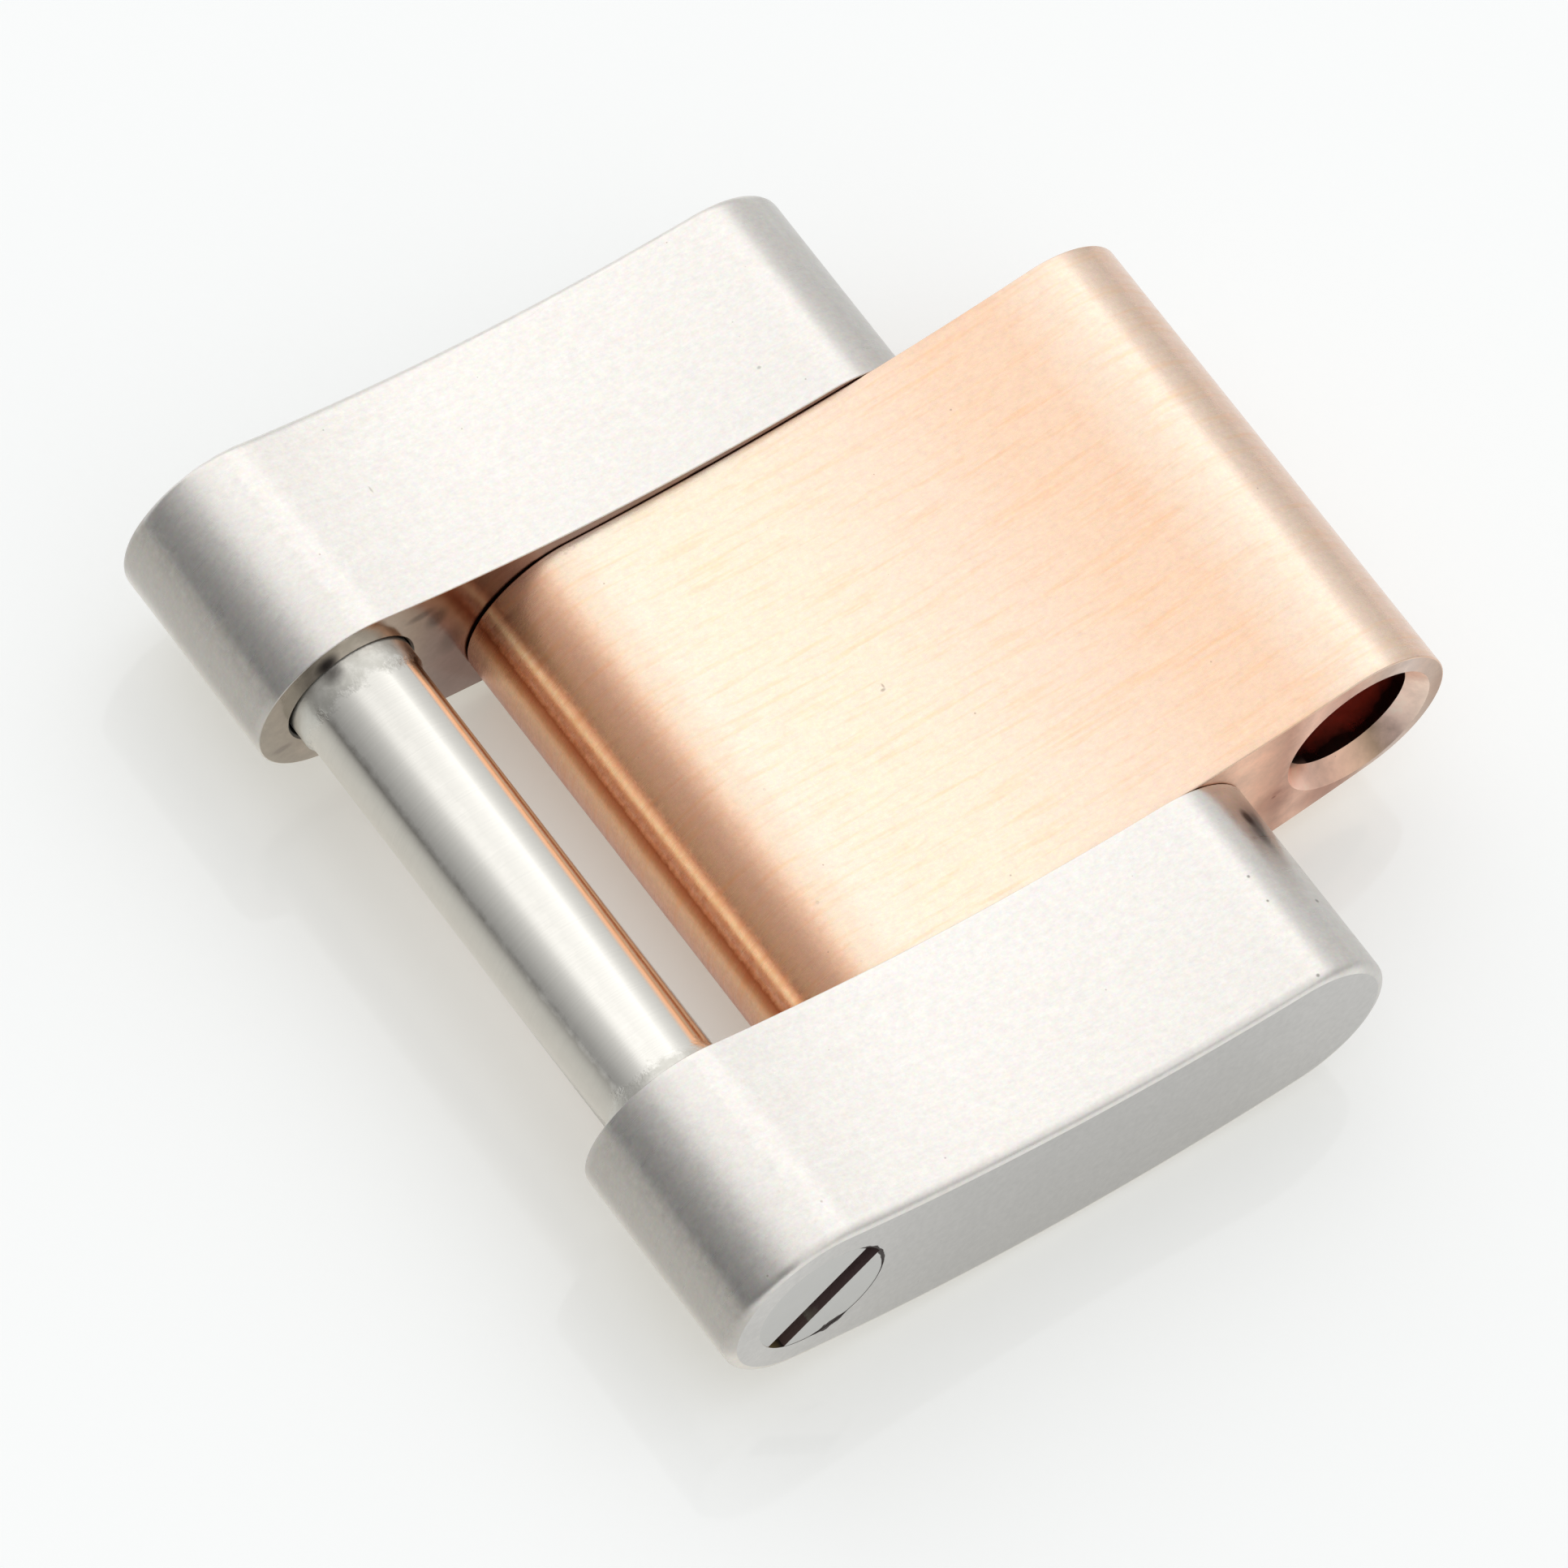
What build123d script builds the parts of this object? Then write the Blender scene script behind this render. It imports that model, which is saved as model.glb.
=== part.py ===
from build123d import *
import os
from math import sqrt

# Watch bracelet link: two outer links stand as ears round a centre link that is shifted
# half a link towards the free end. A slotted screw pin crosses between the ears, and the
# free end of the centre link has the bore for the next link's pin.
# Frame: X runs from the screw pin to the free bore, Y across the bracelet, Z up from the
# surface that the link lies on. The hollow wrist side faces up, and the origin is on that
# surface, at the middle of the length and width. All sizes are in millimetres.

# Overall sizes
link_width = 14.0
ear_gap = 7.5
side_seam = 0.02
hinge_pitch = 11.02

# Side outline of the outer links: a nose round the screw pin and a far nose, both full
# rounds, joined by the crown below and the hollow above. The far nose keeps clear of the
# next link's ears, which swing round the free bore.
outer_hinge_nose_radius = 1.47
outer_far_nose_radius = 1.37
outer_swing_clearance = 0.45
outer_nose_drop = 0.385
outer_crown_radius = 24.7
outer_hollow_radius = 25.6
outer_face_edge_radius = 0.09
outer_inner_edge_radius = 0.05

# Side outline of the centre link: a nose round the free bore, and an inner nose that keeps
# clear of the next centre link, which swings round the screw pin. The middle of its crown is
# lapped flat, and the link lies on that flat.
centre_hinge_nose_radius = 1.35
centre_inner_nose_radius = 1.375
centre_swing_clearance = 0.6
centre_nose_drop = 0.595
centre_crown_radius = 22.2
centre_crown_flat_length = 2.6
centre_hollow_radius = 30.7
centre_edge_radius = 0.04

# Hinge fit: the pin's two lands guide it in the ears, and the shank between them is turned
# down a little, so the next link swings on the shank
hinge_bore_radius = 0.97
land_clearance = 0.025
shank_relief = 0.035
countersink_rim = 0.16
countersink_angle = 60
land_overhang = 0.3
land_step_length = 0.2
thread_core_radius = 0.66
thread_core_clearance = 0.03
pilot_depth = 0.9
thread_depth = 1.5
thread_end_clearance = 0.15
thread_relief_length = 0.1
pin_edge_chamfer = 0.05
pilot_mouth_chamfer = 0.03
head_recess = 0.03
slot_width = 0.3
slot_depth = 0.5
slot_angle = 38.5

# Cross pins, pressed in, which tie the outer links to the centre link
cross_pin_radius = 0.45
cross_pin_spacing = 2.3
cross_pin_drop = 0.62
cross_pin_reach = 2.2
cross_pin_end_clearance = 0.1
cross_pin_chamfer = 0.1

overcut = 0.5


def arc_centre(point_a, reach_a, point_b, reach_b):
    """Return the upper point that lies reach_a from point_a and reach_b from point_b."""
    across = point_b - point_a
    apart = across.length
    along = (reach_a**2 - reach_b**2 + apart**2) / (2 * apart)
    rise = sqrt(reach_a**2 - along**2)
    direction = across.normalized()
    upward = Vector(-direction.Y, direction.X)
    if upward.Y < 0:
        upward = -upward
    return point_a + direction * along + upward * rise


def crown_centre(nose_a, radius_a, nose_b, radius_b, crown_radius):
    """Return the centre of the crown arc, which runs round the outside of both noses."""
    return arc_centre(nose_a, crown_radius - radius_a, nose_b, crown_radius - radius_b)


def on_arc(centre, radius, towards):
    """Return the point of an arc that lies in the direction of another point."""
    return centre + (towards - centre).normalized() * radius


def bar_outline(nose_a, radius_a, nose_b, radius_b, crown_radius, hollow_radius):
    """Draw a bent bar from the side: two noses, and the crown and hollow tangent to both."""
    below = crown_centre(nose_a, radius_a, nose_b, radius_b, crown_radius)
    above = arc_centre(nose_a, hollow_radius + radius_a, nose_b, hollow_radius + radius_b)
    crown_a = on_arc(below, crown_radius, nose_a)
    crown_b = on_arc(below, crown_radius, nose_b)
    hollow_a = on_arc(above, hollow_radius, nose_a)
    hollow_b = on_arc(above, hollow_radius, nose_b)
    tip_a = nose_a + (nose_a - nose_b).normalized() * radius_a
    tip_b = nose_b + (nose_b - nose_a).normalized() * radius_b
    ThreePointArc(crown_a, on_arc(below, crown_radius, (crown_a + crown_b) / 2), crown_b)
    ThreePointArc(crown_b, tip_b, hollow_b)
    ThreePointArc(hollow_b, on_arc(above, hollow_radius, (hollow_a + hollow_b) / 2), hollow_a)
    ThreePointArc(hollow_a, tip_a, crown_a)


def nose_reach(swinging_radius, nose_radius, clearance, drop):
    """Return how far along the link a nose stands from the hinge that it keeps clear of."""
    return sqrt((swinging_radius + nose_radius + clearance) ** 2 - drop**2)


# Places that follow from the sizes. The flat on the centre link's crown lies on the surface
# below, so it sets the height of the hinge axes.
half_gap = ear_gap / 2
half_width = link_width / 2
ear_width = half_width - half_gap
centre_half_width = half_gap - side_seam
overall_length = hinge_pitch + outer_hinge_nose_radius + centre_hinge_nose_radius
screw_x = outer_hinge_nose_radius - overall_length / 2
bore_x = screw_x + hinge_pitch
centre_inner_x = screw_x + nose_reach(
    centre_hinge_nose_radius, centre_inner_nose_radius, centre_swing_clearance, centre_nose_drop
)
outer_far_x = bore_x - nose_reach(
    outer_hinge_nose_radius, outer_far_nose_radius, outer_swing_clearance, outer_nose_drop
)
centre_crown = crown_centre(
    Vector(centre_inner_x, -centre_nose_drop),
    centre_inner_nose_radius,
    Vector(bore_x, 0),
    centre_hinge_nose_radius,
    centre_crown_radius,
)
crown_centre_height = sqrt(centre_crown_radius**2 - (centre_crown_flat_length / 2) ** 2)
hinge_z = crown_centre_height - centre_crown.Y

screw_nose = Vector(screw_x, hinge_z)
outer_far_nose = Vector(outer_far_x, hinge_z - outer_nose_drop)
bore_nose = Vector(bore_x, hinge_z)
centre_inner_nose = Vector(centre_inner_x, hinge_z - centre_nose_drop)

pin_middle_x = (screw_x + bore_x) / 2
cross_pin_z = hinge_z - cross_pin_drop
cross_pin_places = [
    (pin_middle_x - cross_pin_spacing / 2, cross_pin_z),
    (pin_middle_x + cross_pin_spacing / 2, cross_pin_z),
]
cross_pin_half_length = half_gap + cross_pin_reach
cross_pin_hole_depth = cross_pin_reach + cross_pin_end_clearance

land_radius = hinge_bore_radius - land_clearance
shank_radius = land_radius - shank_relief
head_y = -half_width + head_recess
head_land_end_y = -half_gap + land_overhang
far_land_start_y = half_gap - land_overhang
far_land_end_y = half_gap + pilot_depth
thread_end_y = far_land_end_y + thread_depth - thread_end_clearance


def outer_link_outline():
    """Draw the side outline that both outer links share."""
    bar_outline(
        screw_nose,
        outer_hinge_nose_radius,
        outer_far_nose,
        outer_far_nose_radius,
        outer_crown_radius,
        outer_hollow_radius,
    )


# The ear that the screw's head sits in, with a plain hole right through for the pin's land
with BuildPart() as outer_link_screw_side:
    with BuildSketch(Plane.XZ.offset(half_gap)):
        with BuildLine():
            outer_link_outline()
        make_face()
    extrude(amount=ear_width)
    ear_faces = outer_link_screw_side.faces().filter_by(Axis.Y).sort_by(Axis.Y)
    fillet(ear_faces[0].edges(), outer_face_edge_radius)
    ear_faces = outer_link_screw_side.faces().filter_by(Axis.Y).sort_by(Axis.Y)
    fillet(ear_faces[-1].edges(), outer_inner_edge_radius)
    with BuildSketch(Plane.XZ.offset(half_gap)):
        with Locations((screw_x, hinge_z)):
            Circle(hinge_bore_radius)
    extrude(amount=ear_width, mode=Mode.SUBTRACT)
    with BuildSketch(Plane.XZ.offset(half_gap)):
        with Locations(*cross_pin_places):
            Circle(cross_pin_radius)
    extrude(amount=cross_pin_hole_depth, mode=Mode.SUBTRACT)
outer_link_screw_side.part.label = "outer_link_screw_side"

# The ear that the screw is threaded into: a pilot bore takes the pin's far land, a narrower
# blind hole takes the thread, and the outside face stays plain
with BuildPart() as outer_link_thread_side:
    with BuildSketch(Plane.XZ.offset(-half_width)):
        with BuildLine():
            outer_link_outline()
        make_face()
    extrude(amount=ear_width)
    ear_faces = outer_link_thread_side.faces().filter_by(Axis.Y).sort_by(Axis.Y)
    fillet(ear_faces[-1].edges(), outer_face_edge_radius)
    ear_faces = outer_link_thread_side.faces().filter_by(Axis.Y).sort_by(Axis.Y)
    fillet(ear_faces[0].edges(), outer_inner_edge_radius)
    with BuildSketch(Plane.XZ.offset(-half_gap)):
        with Locations((screw_x, hinge_z)):
            Circle(hinge_bore_radius)
    extrude(amount=-pilot_depth, mode=Mode.SUBTRACT)
    pilot_mouth = (
        outer_link_thread_side.edges()
        .filter_by(GeomType.CIRCLE)
        .filter_by(lambda edge: edge.is_closed)
        .sort_by(Axis.Y)[0]
    )
    chamfer(pilot_mouth, pilot_mouth_chamfer)
    with BuildSketch(Plane.XZ.offset(-half_gap)):
        with Locations((screw_x, hinge_z)):
            Circle(thread_core_radius + thread_core_clearance)
    extrude(amount=-(pilot_depth + thread_depth), mode=Mode.SUBTRACT)
    with BuildSketch(Plane.XZ.offset(-half_gap)):
        with Locations(*cross_pin_places):
            Circle(cross_pin_radius)
    extrude(amount=-cross_pin_hole_depth, mode=Mode.SUBTRACT)
outer_link_thread_side.part.label = "outer_link_thread_side"

# The centre link: its hinge bore is countersunk at both mouths
with BuildPart() as center_link:
    with BuildSketch(Plane.XZ.offset(-centre_half_width)):
        with BuildLine():
            bar_outline(
                centre_inner_nose,
                centre_inner_nose_radius,
                bore_nose,
                centre_hinge_nose_radius,
                centre_crown_radius,
                centre_hollow_radius,
            )
        make_face()
    extrude(amount=2 * centre_half_width)
    split(bisect_by=Plane.XY, keep=Keep.TOP)
    side_faces = center_link.faces().filter_by(Axis.Y)
    fillet(side_faces.edges(), centre_edge_radius)
    screw_side_mouth = Plane((bore_x, -centre_half_width, hinge_z), z_dir=(0, -1, 0))
    thread_side_mouth = Plane((bore_x, centre_half_width, hinge_z), z_dir=(0, 1, 0))
    with Locations(screw_side_mouth.location, thread_side_mouth.location):
        CounterSinkHole(
            hinge_bore_radius,
            hinge_bore_radius + countersink_rim,
            depth=centre_half_width + overcut,
            counter_sink_angle=countersink_angle,
        )
    with BuildSketch(Plane.XZ.offset(-centre_half_width)):
        with Locations(*cross_pin_places):
            Circle(cross_pin_radius)
    extrude(amount=2 * centre_half_width, mode=Mode.SUBTRACT)
center_link.part.label = "center_link"

# The screw pin, turned in one piece: slotted head flush in the near ear, relieved shank,
# far land, and the core of the threaded tip. A long shallow step joins each land to the shank.
with BuildPart() as screw_pin:
    with BuildSketch(Plane.YZ.offset(screw_x)):
        with BuildLine():
            Polyline(
                (head_y, hinge_z),
                (head_y, hinge_z + land_radius),
                (head_land_end_y, hinge_z + land_radius),
                (head_land_end_y + land_step_length, hinge_z + shank_radius),
                (far_land_start_y - land_step_length, hinge_z + shank_radius),
                (far_land_start_y, hinge_z + land_radius),
                (far_land_end_y - thread_relief_length, hinge_z + land_radius),
                (far_land_end_y - thread_relief_length, hinge_z + thread_core_radius),
                (thread_end_y, hinge_z + thread_core_radius),
                (thread_end_y, hinge_z),
                close=True,
            )
        make_face()
    revolve(axis=Axis((screw_x, 0, hinge_z), (0, 1, 0)))
    rims = screw_pin.edges().filter_by(GeomType.CIRCLE).sort_by(Axis.Y)
    chamfer([rims[0], rims[-1]], pin_edge_chamfer)
    with BuildSketch(Plane.XZ.offset(-head_y)):
        with Locations((screw_x, hinge_z)):
            Rectangle(2 * (land_radius + overcut), slot_width, rotation=slot_angle)
    extrude(amount=-slot_depth, mode=Mode.SUBTRACT)
screw_pin.part.label = "screw_pin"


def cross_pin(place):
    """Return a plain dowel across the link, chamfered at both ends."""
    with BuildPart() as dowel:
        with BuildSketch(Plane.XZ.offset(-cross_pin_half_length)):
            with Locations(place):
                Circle(cross_pin_radius)
        extrude(amount=2 * cross_pin_half_length)
        chamfer(dowel.edges().filter_by(GeomType.CIRCLE), cross_pin_chamfer)
    return dowel


cross_pin_screw_end = cross_pin(cross_pin_places[0])
cross_pin_screw_end.part.label = "cross_pin_screw_end"
cross_pin_bore_end = cross_pin(cross_pin_places[1])
cross_pin_bore_end.part.label = "cross_pin_bore_end"

os.makedirs("parts", exist_ok=True)
export_step(outer_link_screw_side.part, "parts/outer_link_screw_side.step")
export_step(outer_link_thread_side.part, "parts/outer_link_thread_side.step")
export_step(center_link.part, "parts/center_link.step")
export_step(screw_pin.part, "parts/screw_pin.step")
export_step(cross_pin_screw_end.part, "parts/cross_pin_screw_end.step")
export_step(cross_pin_bore_end.part, "parts/cross_pin_bore_end.step")

print(f"hinge axis height {hinge_z:.4f}, screw axis x {screw_x:.4f}, bore axis x {bore_x:.4f}")
print(f"shank radius {shank_radius:.3f}, land radius {land_radius:.3f}")
print(f"shank between the steps {2 * (far_land_start_y - land_step_length):.3f} long")
print(f"pin from y {head_y:.3f} to y {thread_end_y:.3f}")
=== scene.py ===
# %% [markdown]
# # A two-tone watch bracelet link
# The link is made of two steel outer links, a rose-gold centre link and a slotted screw pin.
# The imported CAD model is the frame: it says where every solid stands and what moves. This
# script dresses it. The frame is loaded first, because every new piece is fitted to it.

# %% Load the frame
import math

import bmesh
import bpy
from mathutils import Matrix, Vector


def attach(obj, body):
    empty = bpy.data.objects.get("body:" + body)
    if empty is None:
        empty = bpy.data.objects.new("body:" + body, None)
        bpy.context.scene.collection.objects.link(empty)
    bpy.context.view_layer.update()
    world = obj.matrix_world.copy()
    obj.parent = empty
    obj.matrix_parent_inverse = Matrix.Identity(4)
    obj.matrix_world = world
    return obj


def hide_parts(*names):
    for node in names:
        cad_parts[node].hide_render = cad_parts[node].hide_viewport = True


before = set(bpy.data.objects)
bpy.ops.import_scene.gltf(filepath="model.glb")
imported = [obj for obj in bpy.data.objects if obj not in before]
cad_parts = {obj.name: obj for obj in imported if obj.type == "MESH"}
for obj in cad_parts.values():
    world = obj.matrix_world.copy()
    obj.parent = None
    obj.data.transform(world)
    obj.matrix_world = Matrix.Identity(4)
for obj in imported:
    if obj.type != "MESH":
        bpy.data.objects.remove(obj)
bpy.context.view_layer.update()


# %% [markdown]
# ## Camera
# The photograph was taken from far away with a long lens, so the link's edges stay nearly
# parallel. The camera is given as a place and three directions: a matrix with right, up and
# backwards as its columns turns any camera, and it is easier to fit to a photo than angles.

# %% Place the camera
MM = 0.001
LENS = 417.87
SENSOR = 36.0
CAMERA_PLACE = Vector((-88.284, -88.172, 205.911)) * MM
CAMERA_RIGHT = Vector((0.81397, -0.57214, 0.10055))
CAMERA_BACK = Vector((-0.36441, -0.3681, 0.8554))

scene = bpy.context.scene
camera_data = bpy.data.cameras.new("photo_camera")
camera_data.lens = LENS
camera_data.sensor_width = SENSOR
camera_data.clip_start = 0.01
camera = bpy.data.objects.new("photo_camera", camera_data)
turn = Matrix((CAMERA_RIGHT, CAMERA_BACK.cross(CAMERA_RIGHT), CAMERA_BACK)).transposed()
camera.matrix_world = Matrix.Translation(CAMERA_PLACE) @ turn.to_4x4()
scene.collection.objects.link(camera)
scene.camera = camera
scene.view_settings.view_transform = "Standard"
print("Camera stands", round(CAMERA_PLACE.length / MM), "mm away")

# %% [markdown]
# ## Node helpers
# A node tree is a list of nodes and links. Writing each node in three or four lines hides the
# idea, so one helper adds a node, sets its options, and sets or links its inputs. The others
# are for the few nodes that every material uses.


# %% Add a node in one line
def join(tree, value, socket):
    """Link another node's output to a socket, or set the socket to a plain value."""
    if isinstance(value, bpy.types.NodeSocket):
        tree.links.new(value, socket)
    else:
        socket.default_value = value


def add(tree, kind, inputs=None, **options):
    """Add a shader node. An input given as a socket is linked, and any other value is set."""
    node = tree.nodes.new("ShaderNode" + kind)
    for option, value in options.items():
        setattr(node, option, value)
    for socket, value in (inputs or {}).items():
        join(tree, value, node.inputs[socket])
    return node


def math_node(tree, operation, first, second=0.0, clamp=False):
    """Return the result of a Math node."""
    node = add(tree, "Math", {0: first, 1: second}, operation=operation, use_clamp=clamp)
    return node.outputs["Value"]


def times(tree, first, second, clamp=False):
    """Return a product."""
    return math_node(tree, "MULTIPLY", first, second, clamp)


def minus(tree, first, second, clamp=False):
    """Return a difference."""
    return math_node(tree, "SUBTRACT", first, second, clamp)


def in_degrees(tree, over, under):
    """Return the angle whose tangent is over / under, in degrees."""
    return times(tree, math_node(tree, "ARCTAN2", over, under), 180 / math.pi)


def vector_node(tree, operation, first, second=None):
    """Return the result of a Vector Math node, whose second input is a vector or a scale."""
    second_socket = "Scale" if operation == "SCALE" else 1
    inputs = {0: first} if second is None else {0: first, second_socket: second}
    node = add(tree, "VectorMath", inputs, operation=operation)
    return node.outputs["Value" if operation == "LENGTH" else "Vector"]


def ramp(tree, value, stops):
    """Return the colour that a ramp with the given places and colours has at value."""
    node = add(tree, "ValToRGB", {"Fac": value})
    elements = node.color_ramp.elements
    while len(elements) < len(stops):
        elements.new(1.0)
    while len(elements) > len(stops):
        elements.remove(elements[-1])
    for element, (place, colour) in zip(elements, stops):
        element.position = place
        element.color = (*colour, 1.0)
    return node.outputs["Color"]


def remap(tree, value, low, high, to_low, to_high):
    """Return value mapped from one range to another, kept inside it."""
    limits = {"From Min": low, "From Max": high, "To Min": to_low, "To Max": to_high}
    return add(tree, "MapRange", {"Value": value, **limits}).outputs["Result"]


def by_noise(tree, value, low, high):
    """Return a noise, which mostly lies between 0.3 and 0.7, spread from low to high."""
    return remap(tree, value, 0.3, 0.7, low, high)


def by_place(tree, value, stops, low=-7.0, high=7.0):
    """Return a colour by a ramp whose stops are given in millimetres or degrees."""
    share = remap(tree, value, low, high, 0.0, 1.0)
    return ramp(tree, share, [((place - low) / (high - low), shade) for place, shade in stops])


def shaded(colour, share):
    """Return a colour times a share."""
    return tuple(channel * share for channel in colour)


def shades(colour, table, level=1.0):
    """Turn a table of places and shares into stops of a colour, with level as full bright."""
    return [(place, shaded(colour, share / level)) for place, share in table]


PLAIN = (1.0, 1.0, 1.0)
print("Node helpers ready")

# %% [markdown]
# ## Light
# Polished and brushed metal has hardly any colour of its own: it shows the room. In the photo
# the room is a light tent, pale overhead and to the right, and darker low down on the left.
# One world with a gradient round the link's cross axis gives all walls their shades at once,
# where separate lamps would each leave a spot. A second, weaker gradient dims its front.

# %% Shape the light tent
TENT_LEVEL = 1.36
TENT_SHADES = [
    (-180, 0.60), (-92, 0.31), (-80, 0.32), (-69, 0.375), (-53, 0.48), (-45, 0.54), (-37, 0.63),
    (-29, 0.76), (-21, 0.94), (-13, 1.04), (-5, 1.10), (3, 1.16), (15, 1.19), (27, 1.23),
    (43, 1.30), (47, 1.10), (54, 0.95), (62, 0.83), (70, 0.77), (86, 0.67), (100, 0.55),
    (180, 0.55),
]
TENT_FRONT_TO_BACK = [(-1.0, 0.68), (-0.3, 0.80), (0.2, 0.98), (0.45, 1.0), (1.0, 1.08)]

world = bpy.data.worlds.new("light_tent")
scene.world = world
world.use_nodes = True
tree = world.node_tree
tree.nodes.clear()
direction = add(tree, "TexCoord").outputs["Generated"]
parts = add(tree, "SeparateXYZ", {"Vector": direction}).outputs
degrees = in_degrees(tree, parts["X"], parts["Z"])
brightest = TENT_FRONT_TO_BACK[-1][1]
walls = by_place(tree, degrees, shades(PLAIN, TENT_SHADES, TENT_LEVEL), -180, 180)
depth = by_place(tree, parts["Y"], shades(PLAIN, TENT_FRONT_TO_BACK, brightest), -1, 1)
light = vector_node(tree, "MULTIPLY", walls, depth)
tent = add(tree, "Background", {"Color": light, "Strength": TENT_LEVEL * brightest})
output = add(tree, "OutputWorld")
tree.links.new(tent.outputs["Background"], output.inputs["Surface"])
print("The tent has", len(TENT_SHADES), "shades")

# %% [markdown]
# ## Floor
# The link lies on a pale board that is lit from below too, so its shadows stay light. A glow
# that only the camera and the mirror rays see gives that without lighting the link itself.
# The rest of its brightness is paint under the tent, and that part takes the shadows. Its
# gloss shows a faint upside-down link, and like any gloss it lets less of the glow out at
# flat angles, which is why the noses mirror a darker board near its horizon.

# %% Lay the floor
FLOOR_SIZE = 1.0
FLOOR_GAP = 0.002 * MM
FLOOR_PAINT = (0.71, 0.745, 0.795, 1.0)
FLOOR_GLOW = (0.350, 0.335, 0.290, 1.0)
FLOOR_ROUGHNESS = 0.05

floor_paint = bpy.data.materials.new("pale_board")
floor_paint.use_nodes = True
tree = floor_paint.node_tree
shader = tree.nodes["Principled BSDF"]
shader.inputs["Base Color"].default_value = FLOOR_PAINT
shader.inputs["Roughness"].default_value = FLOOR_ROUGHNESS
shader.inputs["Emission Color"].default_value = FLOOR_GLOW
rays = add(tree, "LightPath").outputs
seen = math_node(tree, "MAXIMUM", rays["Is Camera Ray"], rays["Is Glossy Ray"])
let_out = minus(tree, 1.0, add(tree, "Fresnel", {"IOR": 1.5}).outputs["Fac"])
tree.links.new(times(tree, seen, let_out), shader.inputs["Emission Strength"])
mesh = bpy.data.meshes.new("floor")
bm = bmesh.new()
bmesh.ops.create_grid(
    bm, x_segments=1, y_segments=1, size=FLOOR_SIZE, matrix=Matrix.Translation((0, 0, -FLOOR_GAP))
)
bm.to_mesh(mesh)
bm.free()
floor = bpy.data.objects.new("floor", mesh)
floor.data.materials.append(floor_paint)
scene.collection.objects.link(floor)
print("Floor laid at", -FLOOR_GAP, "m")

# %% [markdown]
# ## Grain
# Brushing is thousands of fine parallel scratches. A noise that changes fast across the
# bracelet and slowly along it looks like them, and it follows the noses too, because they
# curve only along the bracelet. Close up, the metal also has a soft speckle with a faint
# tint of its own. Several materials need both, so they are one node group.


# %% Grain group
def new_group(name, inputs, outputs):
    """Make a shader group of number inputs; return its tree, input node and output node."""
    group = bpy.data.node_groups.new(name, "ShaderNodeTree")
    for title, value in inputs.items():
        socket = group.interface.new_socket(title, in_out="INPUT", socket_type="NodeSocketFloat")
        socket.default_value = value
    for title, kind in outputs.items():
        group.interface.new_socket(title, in_out="OUTPUT", socket_type="NodeSocket" + kind)
    return group, group.nodes.new("NodeGroupInput"), group.nodes.new("NodeGroupOutput")


def place_in_mm(tree):
    """Return the object coordinates in millimetres."""
    return vector_node(tree, "SCALE", add(tree, "TexCoord").outputs["Object"], 1 / MM)


def split_place(tree):
    """Return the outputs X, Y and Z of the place in millimetres."""
    return add(tree, "SeparateXYZ", {"Vector": place_in_mm(tree)}).outputs


def noise(tree, place, scales, detail=2.0, roughness=0.6, output="Fac"):
    """Return a noise between 0 and 1 whose scales, per millimetre, differ along each axis."""
    stretched = vector_node(tree, "MULTIPLY", place, scales)
    inputs = {"Vector": stretched, "Scale": 1.0, "Detail": detail, "Roughness": roughness}
    return add(tree, "TexNoise", inputs).outputs[output]


FINE_SCALES, STREAK_SCALES, SPECKLE_SCALES = (7.0, 26.0, 7.0), (0.77, 9.88, 0.77), (18.0,) * 3
grain_group, _, grain_out = new_group(
    "brushed_grain", {}, {"Grain": "Float", "Streaks": "Float", "Speckle": "Color"}
)
place = place_in_mm(grain_group)
fine = noise(grain_group, place, FINE_SCALES, detail=3.0)
coarse = noise(grain_group, place, STREAK_SCALES, detail=3.0)
speckle = noise(grain_group, place, SPECKLE_SCALES, detail=3.0, output="Color")
for title, result in (("Grain", fine), ("Streaks", coarse), ("Speckle", speckle)):
    grain_group.links.new(result, grain_out.inputs[title])
print("Grain group has", len(grain_group.nodes), "nodes")

# %% [markdown]
# ## Rim wear and rim shade
# A bracelet rubs against a sleeve all day, so its steel rims are the first to go bright. On the
# rose gold the same mask paints the rims darker brown instead, as painted shade. The rims run
# at fixed places across the bracelet, so the distance to the nearer rim is a plain sum on the
# Y coordinate. A noise breaks the line up.

# %% Rim wear and shade group
rim_group, rim_in, rim_out = new_group(
    "rim_wear_and_shade", {"Inner Rim": 3.75, "Outer Rim": 7.0, "Width": 0.12}, {"Rim Mask": "Float"}
)
across = math_node(rim_group, "ABSOLUTE", split_place(rim_group)["Y"])
past_rims = [
    math_node(rim_group, "ABSOLUTE", minus(rim_group, across, rim_in.outputs[rim]))
    for rim in ("Outer Rim", "Inner Rim")
]
nearest = math_node(rim_group, "MINIMUM", *past_rims)
uneven = noise(rim_group, place_in_mm(rim_group), (2.2, 2.2, 2.2), detail=4.0)
uneven = by_noise(rim_group, uneven, 0.3, 1.7)
reach = times(rim_group, rim_in.outputs["Width"], uneven)
share = math_node(rim_group, "DIVIDE", nearest, reach)
rim_mask = minus(rim_group, 1.0, share, clamp=True)
rim_group.links.new(rim_mask, rim_out.inputs["Rim Mask"])
print("Rim group has", len(rim_group.nodes), "nodes")

# %% [markdown]
# ## Marks
# Small dark specks keep a metal face from looking computed. They are the middles of Voronoi
# cells, and each cell's own colour sets the size of its speck, down to none.

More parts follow.
